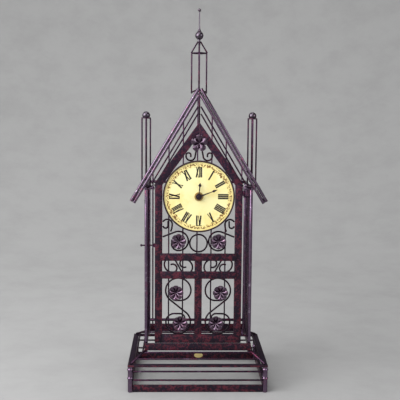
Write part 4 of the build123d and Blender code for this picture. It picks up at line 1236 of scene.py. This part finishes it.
@dataclass
class MovementWork:
    """The quartz movement behind the dial."""

    palette: Palette
    shell_edges: ClassVar[dict[str, float]] = {"movement_case": 0.5 * MM, "movement_cover": 0.25 * MM}
    edge_steps: int = 2
    inside: ClassVar[dict[str, Finish]] = {
        "setting_knob": Finish.CASE,
        "motion_wheel": Finish.GEAR,
        "hour_wheel": Finish.GEAR,
        "minute_arbor": Finish.BRASS,
        "battery": Finish.CELL,
        "battery_contacts": Finish.STEEL,
        "step_motor": Finish.STEEL,
        "circuit_board": Finish.BOARD,
    }

    def build(self) -> None:
        """Makes the shell and dresses what it holds and the knob behind it."""
        for node, edge in self.shell_edges.items():
            shape = node_shape(node)
            soften(shape, edge, self.edge_steps)
            add_piece(shape, "soft_" + node, self.palette[Finish.CASE], node)
        for node, finish in self.inside.items():
            dress_node(node, self.palette[finish])


# Studio

class Aim(Enum):
    """What a lamp is aimed at: the clock or the wall behind it."""

    CLOCK = (0.0, 0.0, 0.42)
    WALL = (0.2, 3.0, 0.7)


@dataclass(frozen=True)
class Lamp:
    """A soft light with a square face of the given side, and its power in watts."""

    name: str
    place: Place
    side: float
    power: float
    aim: Aim = Aim.CLOCK


@dataclass
class Studio:
    """Pale floor and backdrop, soft lights and the photograph's camera, with its turns in degrees."""

    palette: Palette
    camera_place: Place = (-0.0390, -1.7246, 0.6005)
    camera_yaw: float = 1.445
    camera_pitch: float = -6.606
    camera_roll: float = 0.47
    focal_pixels: float = 779.1
    image_pixels: float = 400.0
    sensor_mm: float = 36.0
    floor_r: float = 1.0
    floor_sides: int = 96
    sweep_r: float = 2.2
    sweep_steps: int = 16
    wall_top: float = 5.0
    lamps: tuple[Lamp, ...] = (
        Lamp("side", place=(-1.75, -0.95, 1.35), side=2.2, power=88.0),
        Lamp("front", place=(-0.5, -2.2, 1.7), side=1.4, power=9.0),
        Lamp("top", place=(-0.2, -0.6, 2.2), side=1.2, power=12.0),
        Lamp("fill", place=(1.7, -1.3, 1.3), side=1.3, power=16.0),
        Lamp("wash", place=(-0.2, 0.8, 2.3), side=1.6, power=29.0, aim=Aim.WALL),
    )
    surround: Colour = (0.80, 0.79, 0.81)
    surround_strength: float = 0.20

    def camera(self) -> None:
        """Sets the camera where the photograph was taken from."""
        data = bpy.data.cameras.new("portrait")
        data.sensor_width = self.sensor_mm
        data.lens = self.focal_pixels / self.image_pixels * self.sensor_mm
        turns = (self.camera_yaw, self.camera_pitch, self.camera_roll)
        yaw, pitch, roll = (radians(turn) for turn in turns)
        ahead = Vector((sin(yaw) * cos(pitch), cos(yaw) * cos(pitch), sin(pitch)))
        right = Vector((cos(yaw), -sin(yaw), 0.0))
        above = right.cross(ahead)
        rolled = right * cos(roll) + above * sin(roll)
        raised = above * cos(roll) - right * sin(roll)
        eye = bpy.data.objects.new("portrait", data)
        turn = Matrix((rolled, raised, -ahead)).transposed().to_4x4()
        eye.matrix_world = Matrix.Translation(self.camera_place) @ turn
        bpy.context.scene.collection.objects.link(eye)
        bpy.context.scene.camera = eye

    def floor(self) -> None:
        """Makes the round floor, which sweeps up into a backdrop on all sides."""
        shape = bmesh.new()
        profile = [(0.0, 0.0), (self.floor_r, 0.0)]
        for index in range(1, self.sweep_steps + 1):
            turn = pi / 2 * index / self.sweep_steps
            profile.append((self.floor_r + self.sweep_r * sin(turn), self.sweep_r * (1 - cos(turn))))
        profile.append((self.floor_r + self.sweep_r, self.wall_top))
        spin_up(shape, 0.0, 0.0, profile, self.floor_sides)
        close_up(shape)
        make_object(shape, "floor", self.palette[Finish.FLOOR])

    def light(self, lamp: Lamp) -> None:
        """Sets up one lamp.

        Args:
            lamp: The lamp.
        """
        data = bpy.data.lights.new(lamp.name, "AREA")
        data.size = lamp.side
        data.energy = lamp.power
        stand = bpy.data.objects.new(lamp.name, data)
        aim = Vector(lamp.aim.value) - Vector(lamp.place)
        turn = aim.to_track_quat("-Z", "Y").to_matrix().to_4x4()
        stand.matrix_world = Matrix.Translation(lamp.place) @ turn
        bpy.context.scene.collection.objects.link(stand)

    def world(self) -> None:
        """Sets the even light from all sides and plain colours in the render."""
        world = bpy.data.worlds.new("studio")
        world.use_nodes = True
        background = world.node_tree.nodes["Background"].inputs
        background["Color"].default_value = (*self.surround, 1.0)
        background["Strength"].default_value = self.surround_strength
        bpy.context.scene.world = world
        bpy.context.scene.view_settings.view_transform = "Standard"

    def build(self) -> None:
        """Sets the whole studio."""
        self.camera()
        self.floor()
        for lamp in self.lamps:
            self.light(lamp)
        self.world()


def main() -> None:
    """Builds the clock's visual pieces and the studio."""
    logging.basicConfig(level=logging.INFO, format="%(name)s %(message)s")
    low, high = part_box("dial_plate")
    palette = Palette(((low.x + high.x) / 2, low.y, (low.z + high.z) / 2))
    works = (RodWork, BarWork, ScrollWork, TurnedWork, PressedFlowers, DialWork, MovementWork, Studio)
    for work in works:
        work(palette).build()


if __name__ == "__main__":
    main()
